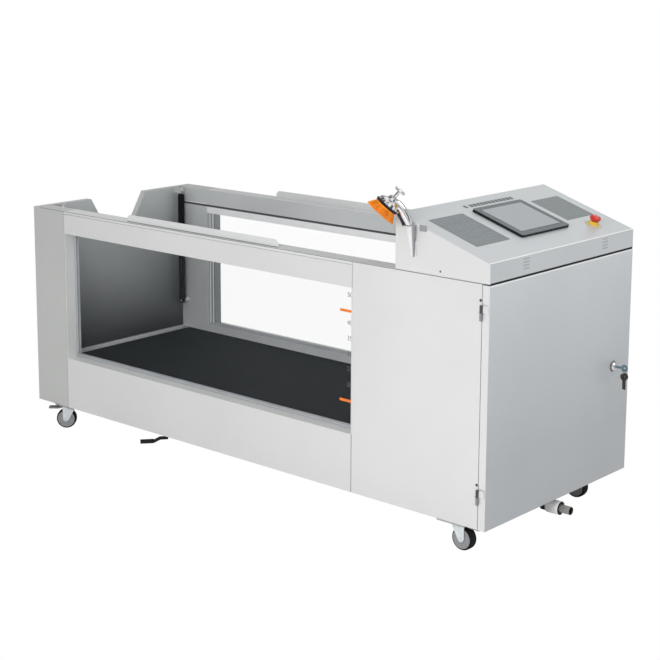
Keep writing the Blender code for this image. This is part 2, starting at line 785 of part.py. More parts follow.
def build_strut(wall, y):
    """A gas strut: the tube turns on a pin of the tub, and the rod slides out of the tube."""
    foot = ramp_axis() + Vector((STRUT_INBOARD, 0, STRUT_FOOT_RISE))
    foot.y = y
    head_z = TOP - STRUT_HEAD_DROP
    start, end = foot.z + STRUT_EYE_RADIUS - SHEET, head_z - STRUT_ROD_SHOWS
    bore = STRUT_ROD_RADIUS + BORE_GAP
    bottom = end - STRUT_ROD_HOLD - STRUT_EYE_RADIUS
    carrier = pivot(f"{wall}_strut_foot", foot)
    tube = turned(
        f"{wall}_strut_tube",
        [(0, start), (STRUT_RADIUS, start), (STRUT_RADIUS, end), (bore, end), (bore, bottom), (0, bottom)],
        BLACK, sides=16, centre=(foot.x, y, 0),
    )
    lug = eye(f"{wall}_strut_foot_eye", foot.x, y, foot.z, STRUT_PIN_RADIUS + BORE_GAP, BLACK)
    fuse(hang(tube, carrier), hang(lug, carrier))
    rod = cylinder(
        f"{wall}_strut_rod", (foot.x, y, 0), STRUT_ROD_RADIUS,
        (end - STRUT_ROD_HOLD, head_z - STRUT_PIN_RADIUS - SHEET), "Z", CHROME, sides=16,
    )
    head = eye(f"{wall}_strut_head_eye", foot.x, y, head_z, STRUT_PIN_RADIUS, CHROME)
    fuse(hang(rod, carrier), hang(head, carrier))


def build_belt():
    """The walking belt round its two rollers, over a slide bed between two beams."""
    start, end = LEFT + BELT_START, BULKHEAD - BELT_END_GAP
    inner = ROLLER_RADIUS + BELT_RUNNING_GAP
    outer = inner + BELT_THICKNESS
    height = BOTTOM + BELT_TOP - outer
    half = MIDDLE - INNER_FRONT - SHEET - BEAM_SIDE_GAP - BEAM_WIDTH - BELT_EDGE_GAP
    rollers = (("idler_roller", start + outer), ("drive_roller", end - outer))
    left, right = rollers[0][1], rollers[1][1]
    prism(
        "walking_belt", stadium(left, right, height, outer), (MIDDLE - half, MIDDLE + half), "Y", BELT_RUBBER,
        hole=stadium(left, right, height, inner),
    )
    floor = BOTTOM + TUBE + GAP + SHEET + GAP
    deck_top = height + inner - DECK_GAP
    near = half + BELT_EDGE_GAP
    frame = prism(
        "belt_frame", rectangle((left + inner, deck_top - DECK_THICKNESS), (right - inner, deck_top)),
        (MIDDLE - near - BEAM_WIDTH / 2, MIDDLE + near + BEAM_WIDTH / 2), "Y", STEEL,
    )
    beam_top = BOTTOM + BELT_TOP - BEAM_DROP
    for side in (-1, 1):
        ends = sorted((MIDDLE + side * near, MIDDLE + side * (near + BEAM_WIDTH)))
        beam = block(
            f"belt_beam_{side}", (start - BEAM_OVERRUN, ends[0], floor),
            (end + BEAM_OVERRUN, ends[1], beam_top),
        )
        fuse(frame, beam)
    for name, x in rollers:
        bearing = cylinder(
            f"{name}_bearing", (x, 0, height), ROLLER_SHAFT_RADIUS + BORE_GAP, (FRONT, REAR), "Y",
        )
        cut(frame, bearing)
        reach = near + BEAM_WIDTH - GAP
        carrier = pivot(name + "_axle", (x, MIDDLE, height))
        turned(
            name,
            [
                (0, -reach), (ROLLER_SHAFT_RADIUS, -reach),
                (ROLLER_SHAFT_RADIUS, -half), (ROLLER_RADIUS, -half),
                (ROLLER_RADIUS, half), (ROLLER_SHAFT_RADIUS, half),
                (ROLLER_SHAFT_RADIUS, reach), (0, reach),
            ],
            STEEL, carrier, 24, "Y",
        )


def slope_angle():
    return math.atan2(CONSOLE_PEAK - FASCIA_HEIGHT, CONSOLE_LENGTH)


def build_console():
    """The sloping housing over the machine room, with the display and the stop button on its slope."""
    back, base = RIGHT - CONSOLE_LENGTH, TOP + GAP
    sheet_fall = SHEET / math.cos(slope_angle()) - SHEET * math.tan(slope_angle())
    outline = [(back, base), (RIGHT, base), (RIGHT, TOP + FASCIA_HEIGHT), (back, TOP + CONSOLE_PEAK)]
    hollow = [
        (back + SHEET, base - SHEET), (RIGHT - SHEET, base - SHEET),
        (RIGHT - SHEET, TOP + FASCIA_HEIGHT - sheet_fall),
        (back + SHEET, TOP + CONSOLE_PEAK - sheet_fall - 2 * SHEET * math.tan(slope_angle())),
    ]
    housing = prism("console_housing", outline, (FRONT, REAR), "Y", CONSOLE_GREY)
    cut(housing, prism("console_hollow", hollow, (FRONT + SHEET, REAR - SHEET), "Y"))

    slope = pivot("console_slope", (RIGHT, FRONT, TOP + FASCIA_HEIGHT), (0, math.degrees(slope_angle()), 0))
    centre = (-BEZEL_PLACE[0], BEZEL_PLACE[1])

    def around(middle, size, grow=0.0):
        return (
            (middle[0] - size[0] / 2 - grow, middle[1] - size[1] / 2 - grow),
            (middle[0] + size[0] / 2 + grow, middle[1] + size[1] / 2 + grow),
        )

    bezel = prism(
        "display_bezel", rounded(*around(centre, BEZEL_SIZE), BEZEL_CORNER, 3), (GAP, BEZEL_DEPTH), "Z",
        BEZEL_GREY, slope,
    )
    screen_centre = (centre[0] - SCREEN_SHIFT, centre[1])
    pocket_floor = BEZEL_DEPTH / 2
    pocket = around(screen_centre, SCREEN_SIZE, GAP)
    cut(bezel, prism(
        "screen_pocket", rectangle(*pocket), (pocket_floor - GAP, BEZEL_DEPTH + SHEET), "Z", parent=slope,
    ))
    screen = around(screen_centre, SCREEN_SIZE)
    prism(
        "display_screen", rectangle(*screen), (pocket_floor, BEZEL_DEPTH - SCREEN_SINK), "Z",
        SCREEN_GREY, slope,
    )

    place = (-STOP_PLACE[0], STOP_PLACE[1])
    seat = pivot("stop_seat", (*place, 0), parent=slope)
    bore = STOP_STEM_RADIUS + BORE_GAP
    legend = STOP_LEGEND_THICKNESS
    turned(
        "stop_collar",
        [
            (bore, GAP), (STOP_LEGEND_RADIUS, GAP), (STOP_LEGEND_RADIUS, legend),
            (STOP_COLLAR_RADIUS, legend),
            (STOP_COLLAR_RADIUS, STOP_COLLAR_HEIGHT),
            (bore, STOP_COLLAR_HEIGHT),
        ],
        YELLOW, seat,
    )
    cap = STOP_COLLAR_HEIGHT + STOP_TRAVEL + GAP
    dome = [(STOP_CAP_RADIUS * wide, cap + STOP_CAP_HEIGHT * tall) for wide, tall in STOP_CAP_PROFILE]
    stem = [(0, STOP_TRAVEL + GAP), (STOP_STEM_RADIUS, STOP_TRAVEL + GAP), (STOP_STEM_RADIUS, cap)]
    turned("stop_button", [*stem, *dome, (0, cap + STOP_CAP_HEIGHT)], RED, seat)


def door_axis():
    return Vector((RIGHT - DOOR_HINGE_SETBACK, FRONT - DOOR_HINGE_PROUD, 0))


def build_service_door():
    """A folded pan on two side hinges, with a cam lock."""
    axis = door_axis()
    carrier = pivot("service_door_hinge", axis)
    low, high = BOTTOM, TOP - DOOR_TOP_GAP
    door = hang(block("service_door", (DOOR_INNER, FRONT, low), (RIGHT, REAR, high), DOOR_GREY), carrier)
    hollow = block(
        "service_door_hollow", (DOOR_INNER - SHEET, FRONT + SHEET, low + SHEET),
        (RIGHT - SHEET, REAR - SHEET, high - SHEET),
    )
    lock = lock_place()
    lock_hole = cylinder("lock_hole", lock, LOCK_BARREL_RADIUS + GAP, (RIGHT - WALL, RIGHT + WALL), "X")
    cut(door, hang(hollow, carrier), hang(lock_hole, carrier))
    for name, base in (("upper", TOP - UPPER_HINGE_DROP), ("lower", BOTTOM + LOWER_HINGE)):
        split = base + HINGE_LENGTH / 2
        knuckle = prism(
            f"{name}_door_knuckle", circle(axis, DOOR_HINGE_RADIUS, 12),
            (split + GAP, base + HINGE_LENGTH), "Z", DOOR_GREY,
            hole=circle(axis, HINGE_PIN_RADIUS + BORE_GAP, 12),
        )
        web = block(
            f"{name}_door_web", (axis.x + HINGE_PIN_RADIUS + SHEET / 2, FRONT - HINGE_LEAF, split + GAP),
            (RIGHT - SHEET, FRONT + SHEET / 2, base + HINGE_LENGTH), DOOR_GREY,
        )
        fuse(door, hang(knuckle, carrier), hang(web, carrier))
        leaf = block(
            f"{name}_hinge", (axis.x - HINGE_LEAF_WIDTH, FRONT - HINGE_LEAF, base),
            (axis.x - HINGE_PIN_RADIUS, FRONT - GAP, split), DOOR_GREY,
        )
        pin = (base + GAP, base + HINGE_LENGTH - GAP)
        fuse(
            leaf,
            cylinder(
                f"{name}_fixed_knuckle", axis, DOOR_HINGE_RADIUS, (base, split), "Z", DOOR_GREY, sides=12
            ),
            cylinder(f"{name}_hinge_pin", axis, HINGE_PIN_RADIUS, pin, "Z", DOOR_GREY, sides=12),
        )


def lock_place():
    return Vector((RIGHT, REAR - LOCK_INSET, BOTTOM + LOCK_HEIGHT))


def flat_key(name, bow, blade_from, blade_to, y, parent):
    """A key lying in the X-Z plane: a round bow and a straight blade."""
    half = KEY_THICKNESS / 2
    head = prism(name, circle(bow, KEY_BOW / 2, 16), (y - half, y + half), "Y", STEEL, parent,
                 hole=circle(bow, KEY_HOLE_RADIUS, 16))
    low = [min(blade_from[i], blade_to[i]) for i in (0, 1)]
    high = [max(blade_from[i], blade_to[i]) for i in (0, 1)]
    span = (y - half + GAP, y + half - GAP)
    fuse(head, prism(name + "_blade", rectangle(low, high), span, "Y", STEEL, parent))
    return head


def build_lock():
    """The lock's barrel through the door, and the key with its ring and two more keys hanging from it."""
    carrier = pivot("lock_axis", lock_place())
    barrel = turned(
        "lock_body",
        [
            (LOCK_PLUG_RADIUS + BORE_GAP, -LOCK_HOUSING_LENGTH), (LOCK_BARREL_RADIUS, -LOCK_HOUSING_LENGTH),
            (LOCK_BARREL_RADIUS, GAP), (LOCK_RADIUS, GAP), (LOCK_RADIUS, LOCK_PROUD / 2),
            (LOCK_BARREL_RADIUS, LOCK_PROUD), (LOCK_PLUG_RADIUS + BORE_GAP, LOCK_PROUD),
        ],
        CHROME, sides=20, axis="X",
    )
    barrel.parent = carrier
    plug = turned(
        "lock_key",
        [
            (0, -LOCK_HOUSING_LENGTH - LOCK_CAM), (LOCK_PLUG_RADIUS, -LOCK_HOUSING_LENGTH - LOCK_CAM),
            (LOCK_PLUG_RADIUS, LOCK_PROUD + SHEET / 2), (0, LOCK_PROUD + SHEET / 2),
        ],
        CHROME, carrier, 20, "X",
    )
    bow = (RIGHT_OVERHANG - KEY_BOW / 2, 0.0)
    blade_half = KEY_BLADE / 2
    blade_end = (bow[0] - KEY_HOLE_RADIUS - SHEET / 2, blade_half)
    fuse(plug, flat_key("key_in_lock", bow, (LOCK_PROUD, -blade_half), blade_end, 0.0, carrier))
    cam = block("lock_cam", (-LOCK_HOUSING_LENGTH - LOCK_CAM, -LOCK_PLUG_RADIUS, -LOCK_PLUG_RADIUS),
                (-LOCK_HOUSING_LENGTH - GAP, LOCK_PLUG_RADIUS, LOCK_CAM_LENGTH), CHROME, carrier)
    fuse(plug, cam)
    ring_centre = Vector((bow[0], 0.0, -KEY_RING_RADIUS - KEY_HOLE_RADIUS))
    points = [
        ring_centre + KEY_RING_RADIUS * Vector((0, math.cos(angle), math.sin(angle)))
        for angle in (2 * math.pi * step / 20 for step in range(20))
    ]
    fuse(plug, closed_wire("key_ring", points, KEY_WIRE, CHROME, carrier))
    for index, (aside, length) in enumerate(((-0.004, 0.030), (0.004, 0.034))):
        low_bow = (bow[0], ring_centre.z - KEY_RING_RADIUS - KEY_HOLE_RADIUS)
        fuse(plug, flat_key(
            f"spare_key_{index}", low_bow, (bow[0] - blade_half, low_bow[1] - KEY_BOW / 2 - length),
            (bow[0] + blade_half, low_bow[1] - KEY_HOLE_RADIUS - SHEET / 2), aside, carrier,
        ))


def closed_wire(name, points, radius, material, parent, sides=6):
    """A round wire bent into a closed loop."""
    mesh = bmesh.new()
    centre = sum(points, Vector()) / len(points)
    rings = []
    for i, point in enumerate(points):
        ahead = (points[(i + 1) % len(points)] - points[i - 1]).normalized()
        out = (point - centre).normalized()
        other = ahead.cross(out)
        rings.append([
            mesh.verts.new(point + radius * (out * math.cos(angle) + other * math.sin(angle)))
            for angle in (2 * math.pi * step / sides for step in range(sides))
        ])
    for index in range(len(rings)):
        lower, upper = rings[index - 1], rings[index]
        for i in range(sides):
            j = (i + 1) % sides
            mesh.faces.new((lower[i], lower[j], upper[j], upper[i]))
    return finish_mesh(name, mesh, material, parent, smooth=True)


build_ramp()
for wall, y in (("front", FRONT + STRUT_INSET), ("rear", REAR - STRUT_INSET)):
    build_strut(wall, y)
build_belt()
build_console()
build_service_door()
build_lock()


def build_shower():
    """A conical cup on the front, and the shower that stands in it with its head leaning out."""
    tip = (RIGHT - CUP_PLACE[0], FRONT - CUP_PLACE[1], TOP + CUP_TIP_HEIGHT)
    cup_axis = pivot("cup_axis", tip, (CUP_TILT, 0, 0))
    cup = turned(
        "shower_cup",
        [
            (0, 0), (CUP_TIP_RADIUS, 0), (CUP_RIM_RADIUS, CUP_LENGTH),
            (CUP_RIM_RADIUS - CUP_WALL, CUP_LENGTH), (CUP_TIP_RADIUS - CUP_WALL, CUP_WALL), (0, CUP_WALL),
        ],
        STEEL, cup_axis, 20,
    )
    low_z = TOP + CUP_TIP_HEIGHT
    plate = block(
        "cup_plate", (tip[0] - CUP_PLATE[0] / 2, FRONT - SHEET - GAP, low_z),
        (tip[0] + CUP_PLATE[0] / 2, FRONT - GAP, min(low_z + CUP_PLATE[1], TOP + CONSOLE_PEAK)), STEEL,
    )
    web = block(
        "cup_web", (tip[0] - CUP_WALL, tip[1] - CUP_TIP_RADIUS / 2, low_z + CUP_WALL / 2),
        (tip[0] + CUP_WALL, FRONT - SHEET / 2, low_z + CUP_TIP_RADIUS), STEEL,
    )
    fuse(cup, hang(plate, cup_axis), hang(web, cup_axis))

    rim_out = CUP_LENGTH * math.sin(math.radians(CUP_TILT))
    lean = pivot("shower_lean", (tip[0], tip[1] - rim_out, TOP), (0, 0, SHOWER_YAW))
    foot_back = Vector((math.sin(math.radians(SHOWER_YAW)), math.cos(math.radians(SHOWER_YAW)), 0)) * rim_out
    path, radii = [], []
    for index, (reach, height, radius) in enumerate(HANDLE_PATH):
        share = max(0.0, 1 - (height - CUP_TIP_HEIGHT) / CUP_LENGTH)
        path.append(Vector((reach, 0, height)) + foot_back * share)
        radii.append(radius)
    handle = swept("shower_handle", path, radii, CHROME, lean, 16)

    head_axis = pivot("head_axis", (HEAD_REACH, 0, HEAD_RISE), (0, -HEAD_TILT, 0), lean)
    back = RING_THICKNESS / 2
    stem_from = back + HEAD_DEPTH + KNOB_STEM_SEAT
    head = turned(
        "shower_head",
        [
            (0, back + GAP), (HEAD_RADIUS, back + GAP),
            (HEAD_SHOULDER_RADIUS, back + HEAD_SHOULDER), (HEAD_WAIST_RADIUS, back + HEAD_WAIST),
            (HEAD_NECK_RADIUS, back + HEAD_DEPTH), (KNOB_STEM_RADIUS + SHEET, stem_from), (0, stem_from),
        ],
        CHROME, head_axis,
    )
    fuse(handle, head)
    head.name = "head_dish"

    grip_path = [point for point in path if GRIP_SPAN[0] - 0.01 < point.z < GRIP_SPAN[1] + 0.005]
    side = math.radians(GRIP_SIDE)
    outward = Vector((math.cos(side), 0, math.sin(side))) * (HANDLE_RADIUS + GRIP_THICKNESS / 2)
    strip = [point + outward for point in grip_path]
    grip = swept("handle_grip", strip, [GRIP_THICKNESS] * len(strip), BLACK, lean, 8)
    cut(grip, swept("grip_seat", path, [radius + GAP for radius in radii], CHROME, lean, 16))

    turned(
        "head_ring",
        [
            (0, -back), (RING_RADIUS - SHEET, -back), (RING_RADIUS, -back + SHEET),
            (RING_RADIUS, back - SHEET / 2), (RING_RADIUS - SHEET, back), (0, back),
        ],
        BLACK, head_axis,
    )
    face = -back - GAP
    rim = PAD_ROOT_RADIUS + SHEET
    pad = turned(
        "brush_bristles", [(0, face), (rim, face), (rim, face - PAD_BACKING), (0, face - PAD_BACKING)],
        ORANGE, head_axis,
    )
    fuse(pad, bristles("bristle_strands", face - PAD_BACKING / 2, head_axis))

    knob_from = KNOB_HEIGHT - KNOB_THICKNESS / 2
    knob_top = KNOB_HEIGHT + KNOB_THICKNESS / 2
    turned(
        "flow_knob",
        [
            (0, stem_from + GAP), (KNOB_STEM_RADIUS, stem_from + GAP), (KNOB_STEM_RADIUS, knob_from),
            (KNOB_RADIUS - SHEET / 2, knob_from), (KNOB_RADIUS, knob_from + SHEET / 2),
            (KNOB_RADIUS, KNOB_HEIGHT + KNOB_THICKNESS / 4), (KNOB_RADIUS - SHEET, knob_top), (0, knob_top),
        ],
        CHROME, head_axis,
    )


def bristles(name, start, parent):
    """Strands in rings about the pad's middle, which spread from the backing to the pad's face."""
    mesh = bmesh.new()
    end = start + PAD_BACKING / 2 - PAD_LENGTH
    pitch = PAD_ROOT_RADIUS / BRISTLE_ROWS
    spread = PAD_RADIUS / PAD_ROOT_RADIUS
    least = 2 * math.pi * pitch / 6 - 2 * BRISTLE_RADIUS
    print(f"bristles: {1 + 3 * BRISTLE_ROWS * (BRISTLE_ROWS + 1)} strands, least gap {least * 1000:.2f} mm")
    for row in range(BRISTLE_ROWS + 1):
        count = max(1, 6 * row)
        for index in range(count):
            angle = 2 * math.pi * (index + 0.5 * (row % 2)) / count
            root = Vector((math.cos(angle), math.sin(angle), 0)) * pitch * row
            rings = []
            for centre, height in ((root, start), (root * spread, end)):
                rings.append([
                    mesh.verts.new((centre.x + across[0], centre.y + across[1], height))
                    for across in circle((0, 0), BRISTLE_RADIUS, BRISTLE_SIDES, angle)
                ])
            for i in range(BRISTLE_SIDES):
                j = (i + 1) % BRISTLE_SIDES
                mesh.faces.new((rings[0][i], rings[0][j], rings[1][j], rings[1][i]))
            mesh.faces.new(rings[0])
            mesh.faces.new(rings[1])
    return finish_mesh(name, mesh, ORANGE, parent)


def build_caster(name, x, y, trail_yaw, braked):
    """A swivel caster: the fork turns on the plate, the wheel on its axle, the brake pedal on the fork."""
    top = BOTTOM - CASTER_PLATE - GAP
    swivel = pivot(f"{name}_swivel", (x, y, top), (0, 0, trail_yaw))
    axle_z = WHEEL_RADIUS - top
    half = WHEEL_WIDTH / 2 + FORK_SIDE_GAP
    fork = turned(
        f"{name}_fork", [(0, 0), (FORK_RACE_RADIUS, 0), (FORK_RACE_RADIUS, -FORK_RACE), (0, -FORK_RACE)],
        GALVANISED, swivel, 20,
    )
    front, back = -FORK_LEG, CASTER_TRAIL + FORK_LEG
    crown = block(
        f"{name}_crown", (front, -half - FORK_SHEET, -FORK_CROWN), (back, half + FORK_SHEET, -FORK_RACE / 2),
        GALVANISED, swivel,
    )
    fuse(fork, crown)
    foot_z = axle_z - FORK_FOOT
    leg = [
        (front, -FORK_RACE), (CASTER_TRAIL - FORK_LEG, axle_z), (CASTER_TRAIL - FORK_LEG / 2, foot_z),
        (CASTER_TRAIL + FORK_LEG / 2, foot_z), (CASTER_TRAIL + FORK_LEG, axle_z), (back, -FORK_RACE),
    ]
    for side in (-1, 1):
        span = sorted((side * half, side * (half + FORK_SHEET)))
        fuse(fork, prism(f"{name}_leg_{side}", leg, span, "Y", GALVANISED, swivel))
    reach = half + FORK_SHEET + AXLE_RADIUS / 2
    axle_middle = (CASTER_TRAIL, 0, axle_z)
    fuse(fork, cylinder(
        f"{name}_axle", axle_middle, AXLE_RADIUS, (-reach, reach), "Y", GALVANISED, swivel, 12,
    ))

    hub = pivot(f"{name}_hub", axle_middle, parent=swivel)
    side = WHEEL_WIDTH / 2
    bore = AXLE_RADIUS + AXLE_GAP
    turned(
        f"{name}_wheel",
        [
            (bore, -side), (WHEEL_RADIUS - TREAD_SHOULDER, -side), (WHEEL_RADIUS, -side + TREAD_SHOULDER),
            (WHEEL_RADIUS, side - TREAD_SHOULDER), (WHEEL_RADIUS - TREAD_SHOULDER, side), (bore, side),
        ],
        WHEEL_GREY, hub, 32, "Y",
    )
    if braked:
        high = -FORK_RACE / 2
        low = high - PEDAL_THICKNESS
        outline = [
            (PEDAL_START, low), (PEDAL_START, high), (PEDAL_BEND, high - SHEET),
            (PEDAL_END, high - PEDAL_FALL), (PEDAL_END - SHEET, low - PEDAL_FALL),
            (PEDAL_BEND - SHEET, low - SHEET),
        ]
        prism(f"{name}_brake_pedal", outline, (-PEDAL_WIDTH / 2, PEDAL_WIDTH / 2), "Y", BLACK, swivel)


def build_drain():
    """A ball valve with a lever under the front edge, and an outlet pipe under the machine end."""
    x, y, z = LEFT + VALVE_PLACE[0], FRONT + VALVE_PLACE[1], BOTTOM - VALVE_DROP
    half = VALVE_LENGTH / 2
    body = cylinder("drain_valve_body", (0, y, z), VALVE_RADIUS, (x - half, x + half), "X", BRASS, sides=16)
    stem_low = BOTTOM - LEVER_HUB_DROP + GAP
    stem = cylinder("drain_valve_stem", (x, y, 0), VALVE_STEM_RADIUS, (stem_low, z), "Z", BRASS, sides=12)
    bend, far_x, far_y = PIPE_BEND, x + PIPE_REACH, FRONT + PIPE_ASIDE
    cut_in = PIPE_BEND * (1 - math.cos(math.radians(45)))
    route = [
        (x + half - SHEET, y, z),
        (far_x - bend, y, z), (far_x - cut_in, y + cut_in, z), (far_x, y + bend, z),
        (far_x, far_y - bend, z), (far_x, far_y - cut_in, z + cut_in), (far_x, far_y, z + bend),
        (far_x, far_y, BOTTOM + TUBE - 2 * GAP),
    ]
    fuse(body, stem, swept("drain_riser", route, [PIPE_RADIUS] * len(route), BRASS, sides=12))

    stem_end = pivot("lever_axis", (x, y, BOTTOM - LEVER_HUB_DROP), (0, 0, LEVER_YAW))
    start, crank, end = -LEVER_WIDTH / 2, LEVER_CRANK, LEVER_LENGTH
    outline = [
        (start, 0), (2 * crank, 0), (4 * crank, -crank), (end, -crank),
        (end, -crank - LEVER_SHEET), (4 * crank - SHEET / 2, -crank - LEVER_SHEET),
        (2 * crank - SHEET / 2, -LEVER_SHEET), (start, -LEVER_SHEET),
    ]
    lever = prism("drain_lever", outline, (-LEVER_WIDTH / 2, LEVER_WIDTH / 2), "Y", BLACK, stem_end)
    grip = block(
        "lever_grip", (LEVER_GRIP_START, -LEVER_WIDTH / 2 - SHEET / 2, -crank - LEVER_SHEET - SHEET / 2),
        (end + SHEET / 2, LEVER_WIDTH / 2 + SHEET / 2, -crank + SHEET / 2), BLACK, stem_end,
    )
    fuse(lever, grip)

    place = (0, FRONT + OUTLET_PLACE, BOTTOM - OUTLET_DROP)
    start, reach = RIGHT - OUTLET_START, RIGHT + OUTLET_REACH
    profile = [(OUTLET_BORE, start)]
    for radius, span in ((CLAMP_RADIUS, CLAMP_SPAN), (UNION_RADIUS, UNION_SPAN)):
        near, far = RIGHT - span[0], RIGHT - span[1]
        if not profile[1:]:
            profile.append((OUTLET_RADIUS, start))
        profile += [(OUTLET_RADIUS, near), (radius, near), (radius, far), (OUTLET_RADIUS, far)]
    profile += [(OUTLET_RADIUS, reach), (OUTLET_BORE, reach)]
    outlet = turned("drain_outlet", profile, WHITE, sides=20, axis="X", centre=place)
    elbow_z = place[2]
    riser = [
        (start + SHEET, place[1], elbow_z), (start - bend, place[1], elbow_z),
        (start - 2 * bend + cut_in, place[1], elbow_z + cut_in),
        (start - 2 * bend, place[1], elbow_z + bend),
        (start - 2 * bend, place[1], BOTTOM + TUBE - SHEET - GAP),
    ]
    fuse(outlet, swept("outlet_riser", riser, [OUTLET_RADIUS - GAP] * len(riser), WHITE, sides=16))


def build_machine_room():
    """A circulation pump, a filter canister and a control box."""
    shelf = BOTTOM + TUBE + GAP
    x, y = BULKHEAD + PUMP_PLACE[0], INNER_FRONT + PUMP_PLACE[1]
    height = shelf + PUMP_HEIGHT
    middle = y - MOTOR_LENGTH / 2
    motor_end = middle + MOTOR_LENGTH
    pump = cylinder("water_pump", (x, 0, height), MOTOR_RADIUS, (middle, motor_end), "Y", PUMP_BLUE, sides=20)
    volute = cylinder(
        "pump_volute", (x, 0, height), VOLUTE_RADIUS, (motor_end - SHEET, motor_end + VOLUTE_LENGTH), "Y",
        PUMP_BLUE, sides=20,
    )
    length, width, thickness = PUMP_FOOT
    foot = block(
        "pump_foot", (x - length / 2, y - width / 2, shelf),
        (x + length / 2, y + width / 2, shelf + thickness), PUMP_BLUE,
    )
    saddle = block(
        "pump_saddle", (x - length / 4, y - width / 4, shelf + GAP), (x + length / 4, y + width / 4, height),
        PUMP_BLUE,
    )
    fuse(pump, volute, foot, saddle)

    x, y = BULKHEAD + FILTER_PLACE[0], INNER_FRONT + FILTER_PLACE[1]
    lid = shelf + FILTER_HEIGHT
    turned(
        "filter_housing",
        [
            (0, shelf), (FILTER_RADIUS, shelf), (FILTER_RADIUS, lid - FILTER_LID),
            (FILTER_RADIUS + SHEET, lid - FILTER_LID), (FILTER_RADIUS + SHEET, lid),
            (FILTER_RADIUS / 2, lid + FILTER_LID), (0, lid + FILTER_LID),
        ],
        WHITE, sides=24, centre=(x, y, 0),
    )
    low = Vector((BULKHEAD + GAP, INNER_FRONT + CONTROL_BOX_PLACE[0], BOTTOM + CONTROL_BOX_PLACE[1]))
    block("control_box", low, low + Vector(CONTROL_BOX_SIZE), CONSOLE_GREY)


build_shower()
for name, x, y in caster_places():
    build_caster(name, x, y, CASTER_YAWS[name], name.startswith("front"))
build_drain()
build_machine_room()
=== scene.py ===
# %% [markdown]
# An underwater treadmill, dressed for a studio picture. The frame holds every working piece at its real
# size. This lesson gives the pieces their finish, softens their edges, and adds the small things that a
# maker puts on last: screws, slots, bristles, printed rows, seams. Lengths are in metres, the front faces
# -Y and the machine end is at +X.

# %% Load the frame
import json
import math
import random

import bmesh
import bpy
from mathutils import Matrix, Vector

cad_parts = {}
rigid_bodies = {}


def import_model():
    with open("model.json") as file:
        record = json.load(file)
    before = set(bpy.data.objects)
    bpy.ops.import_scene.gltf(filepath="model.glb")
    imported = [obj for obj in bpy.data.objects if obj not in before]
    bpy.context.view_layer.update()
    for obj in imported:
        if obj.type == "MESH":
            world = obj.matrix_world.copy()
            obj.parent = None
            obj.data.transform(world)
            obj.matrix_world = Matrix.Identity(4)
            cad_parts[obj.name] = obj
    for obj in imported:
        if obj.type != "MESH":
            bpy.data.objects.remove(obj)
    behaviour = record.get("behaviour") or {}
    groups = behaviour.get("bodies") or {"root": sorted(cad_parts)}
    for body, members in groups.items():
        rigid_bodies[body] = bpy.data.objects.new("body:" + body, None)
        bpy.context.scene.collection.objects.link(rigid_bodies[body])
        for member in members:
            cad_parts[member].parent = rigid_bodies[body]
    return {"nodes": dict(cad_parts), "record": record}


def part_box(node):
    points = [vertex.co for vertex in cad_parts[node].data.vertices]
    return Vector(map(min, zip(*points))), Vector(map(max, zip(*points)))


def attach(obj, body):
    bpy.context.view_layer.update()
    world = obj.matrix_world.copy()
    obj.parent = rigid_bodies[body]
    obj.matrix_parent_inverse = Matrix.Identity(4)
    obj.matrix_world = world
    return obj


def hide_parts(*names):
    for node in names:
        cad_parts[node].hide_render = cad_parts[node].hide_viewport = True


for old in list(bpy.data.objects):
    bpy.data.objects.remove(old, do_unlink=True)

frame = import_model()
NODES = frame["nodes"]
BODY_OF = {node: body for body, members in frame["record"]["behaviour"]["bodies"].items() for node in members}
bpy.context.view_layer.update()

# %% [markdown]
# Everything is placed from the frame. The walls, the posts and the console give the main planes. They could
# be typed in as numbers, but read from the frame they stay right when a piece changes.

# %% Main planes
def low(node):
    return Vector(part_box(node)[0])


def high(node):
    return Vector(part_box(node)[1])


def middle(node):
    return (low(node) + high(node)) / 2


LEFT = low("front_corner_post").x
RIGHT = high("console_housing").x
FRONT = low("front_wall_panel").y
REAR = high("rear_wall_panel").y
MID_Y = (FRONT + REAR) / 2
BOTTOM = low("front_corner_post").z
TOP = high("front_corner_post").z
BULKHEAD = low("console_housing").x
print("body:", round(RIGHT - LEFT, 3), "x", round(REAR - FRONT, 3), "x", round(TOP - BOTTOM, 3))

# %% [markdown]
# The camera looks from the machine end, a little above the console, through a long lens. A small negative
# shift keeps the walls nearly upright in the picture, as a product photographer's lens does. A level camera
# with a large shift would keep them quite upright, but every other view would then hang low in its picture.

# %% Camera
CAMERA_PLACE = (3.8027, -4.1850, 1.8964)
CAMERA_AZIMUTH = 41.35
CAMERA_PITCH = 10.09
CAMERA_ROLL = -0.25
CAMERA_LENS = 84.53
CAMERA_SHIFT = -0.15


def placed(name, data):
    """A new object with the given data, linked into the scene."""
    item = bpy.data.objects.new(name, data)
    bpy.context.scene.collection.objects.link(item)
    return item


camera_data = bpy.data.cameras.new("camera")
camera_data.lens = CAMERA_LENS
camera_data.sensor_width = 36.0
camera_data.shift_y = CAMERA_SHIFT
camera = placed("camera", camera_data)
camera.location = CAMERA_PLACE
camera.rotation_euler = [math.radians(angle) for angle in (90 - CAMERA_PITCH, CAMERA_ROLL, CAMERA_AZIMUTH)]
bpy.context.scene.camera = camera
bpy.context.scene.view_settings.view_transform = "Standard"

# %% [markdown]
# The studio is white all round. One soft lamp stands low in front of the machine end, so the long front is
# the brightest side, fading towards the ramp, and the service door stays in shade. That lamp is kept out of
# reflections, or its bright disc would wash out the panels that face it. The world is white to the eye and
# through glass. Matt surfaces get a lower, even light from it, and gloss sees a white room with broad grey
# screens, which gives polished metal its dark streaks. The paper floor only throws light up.

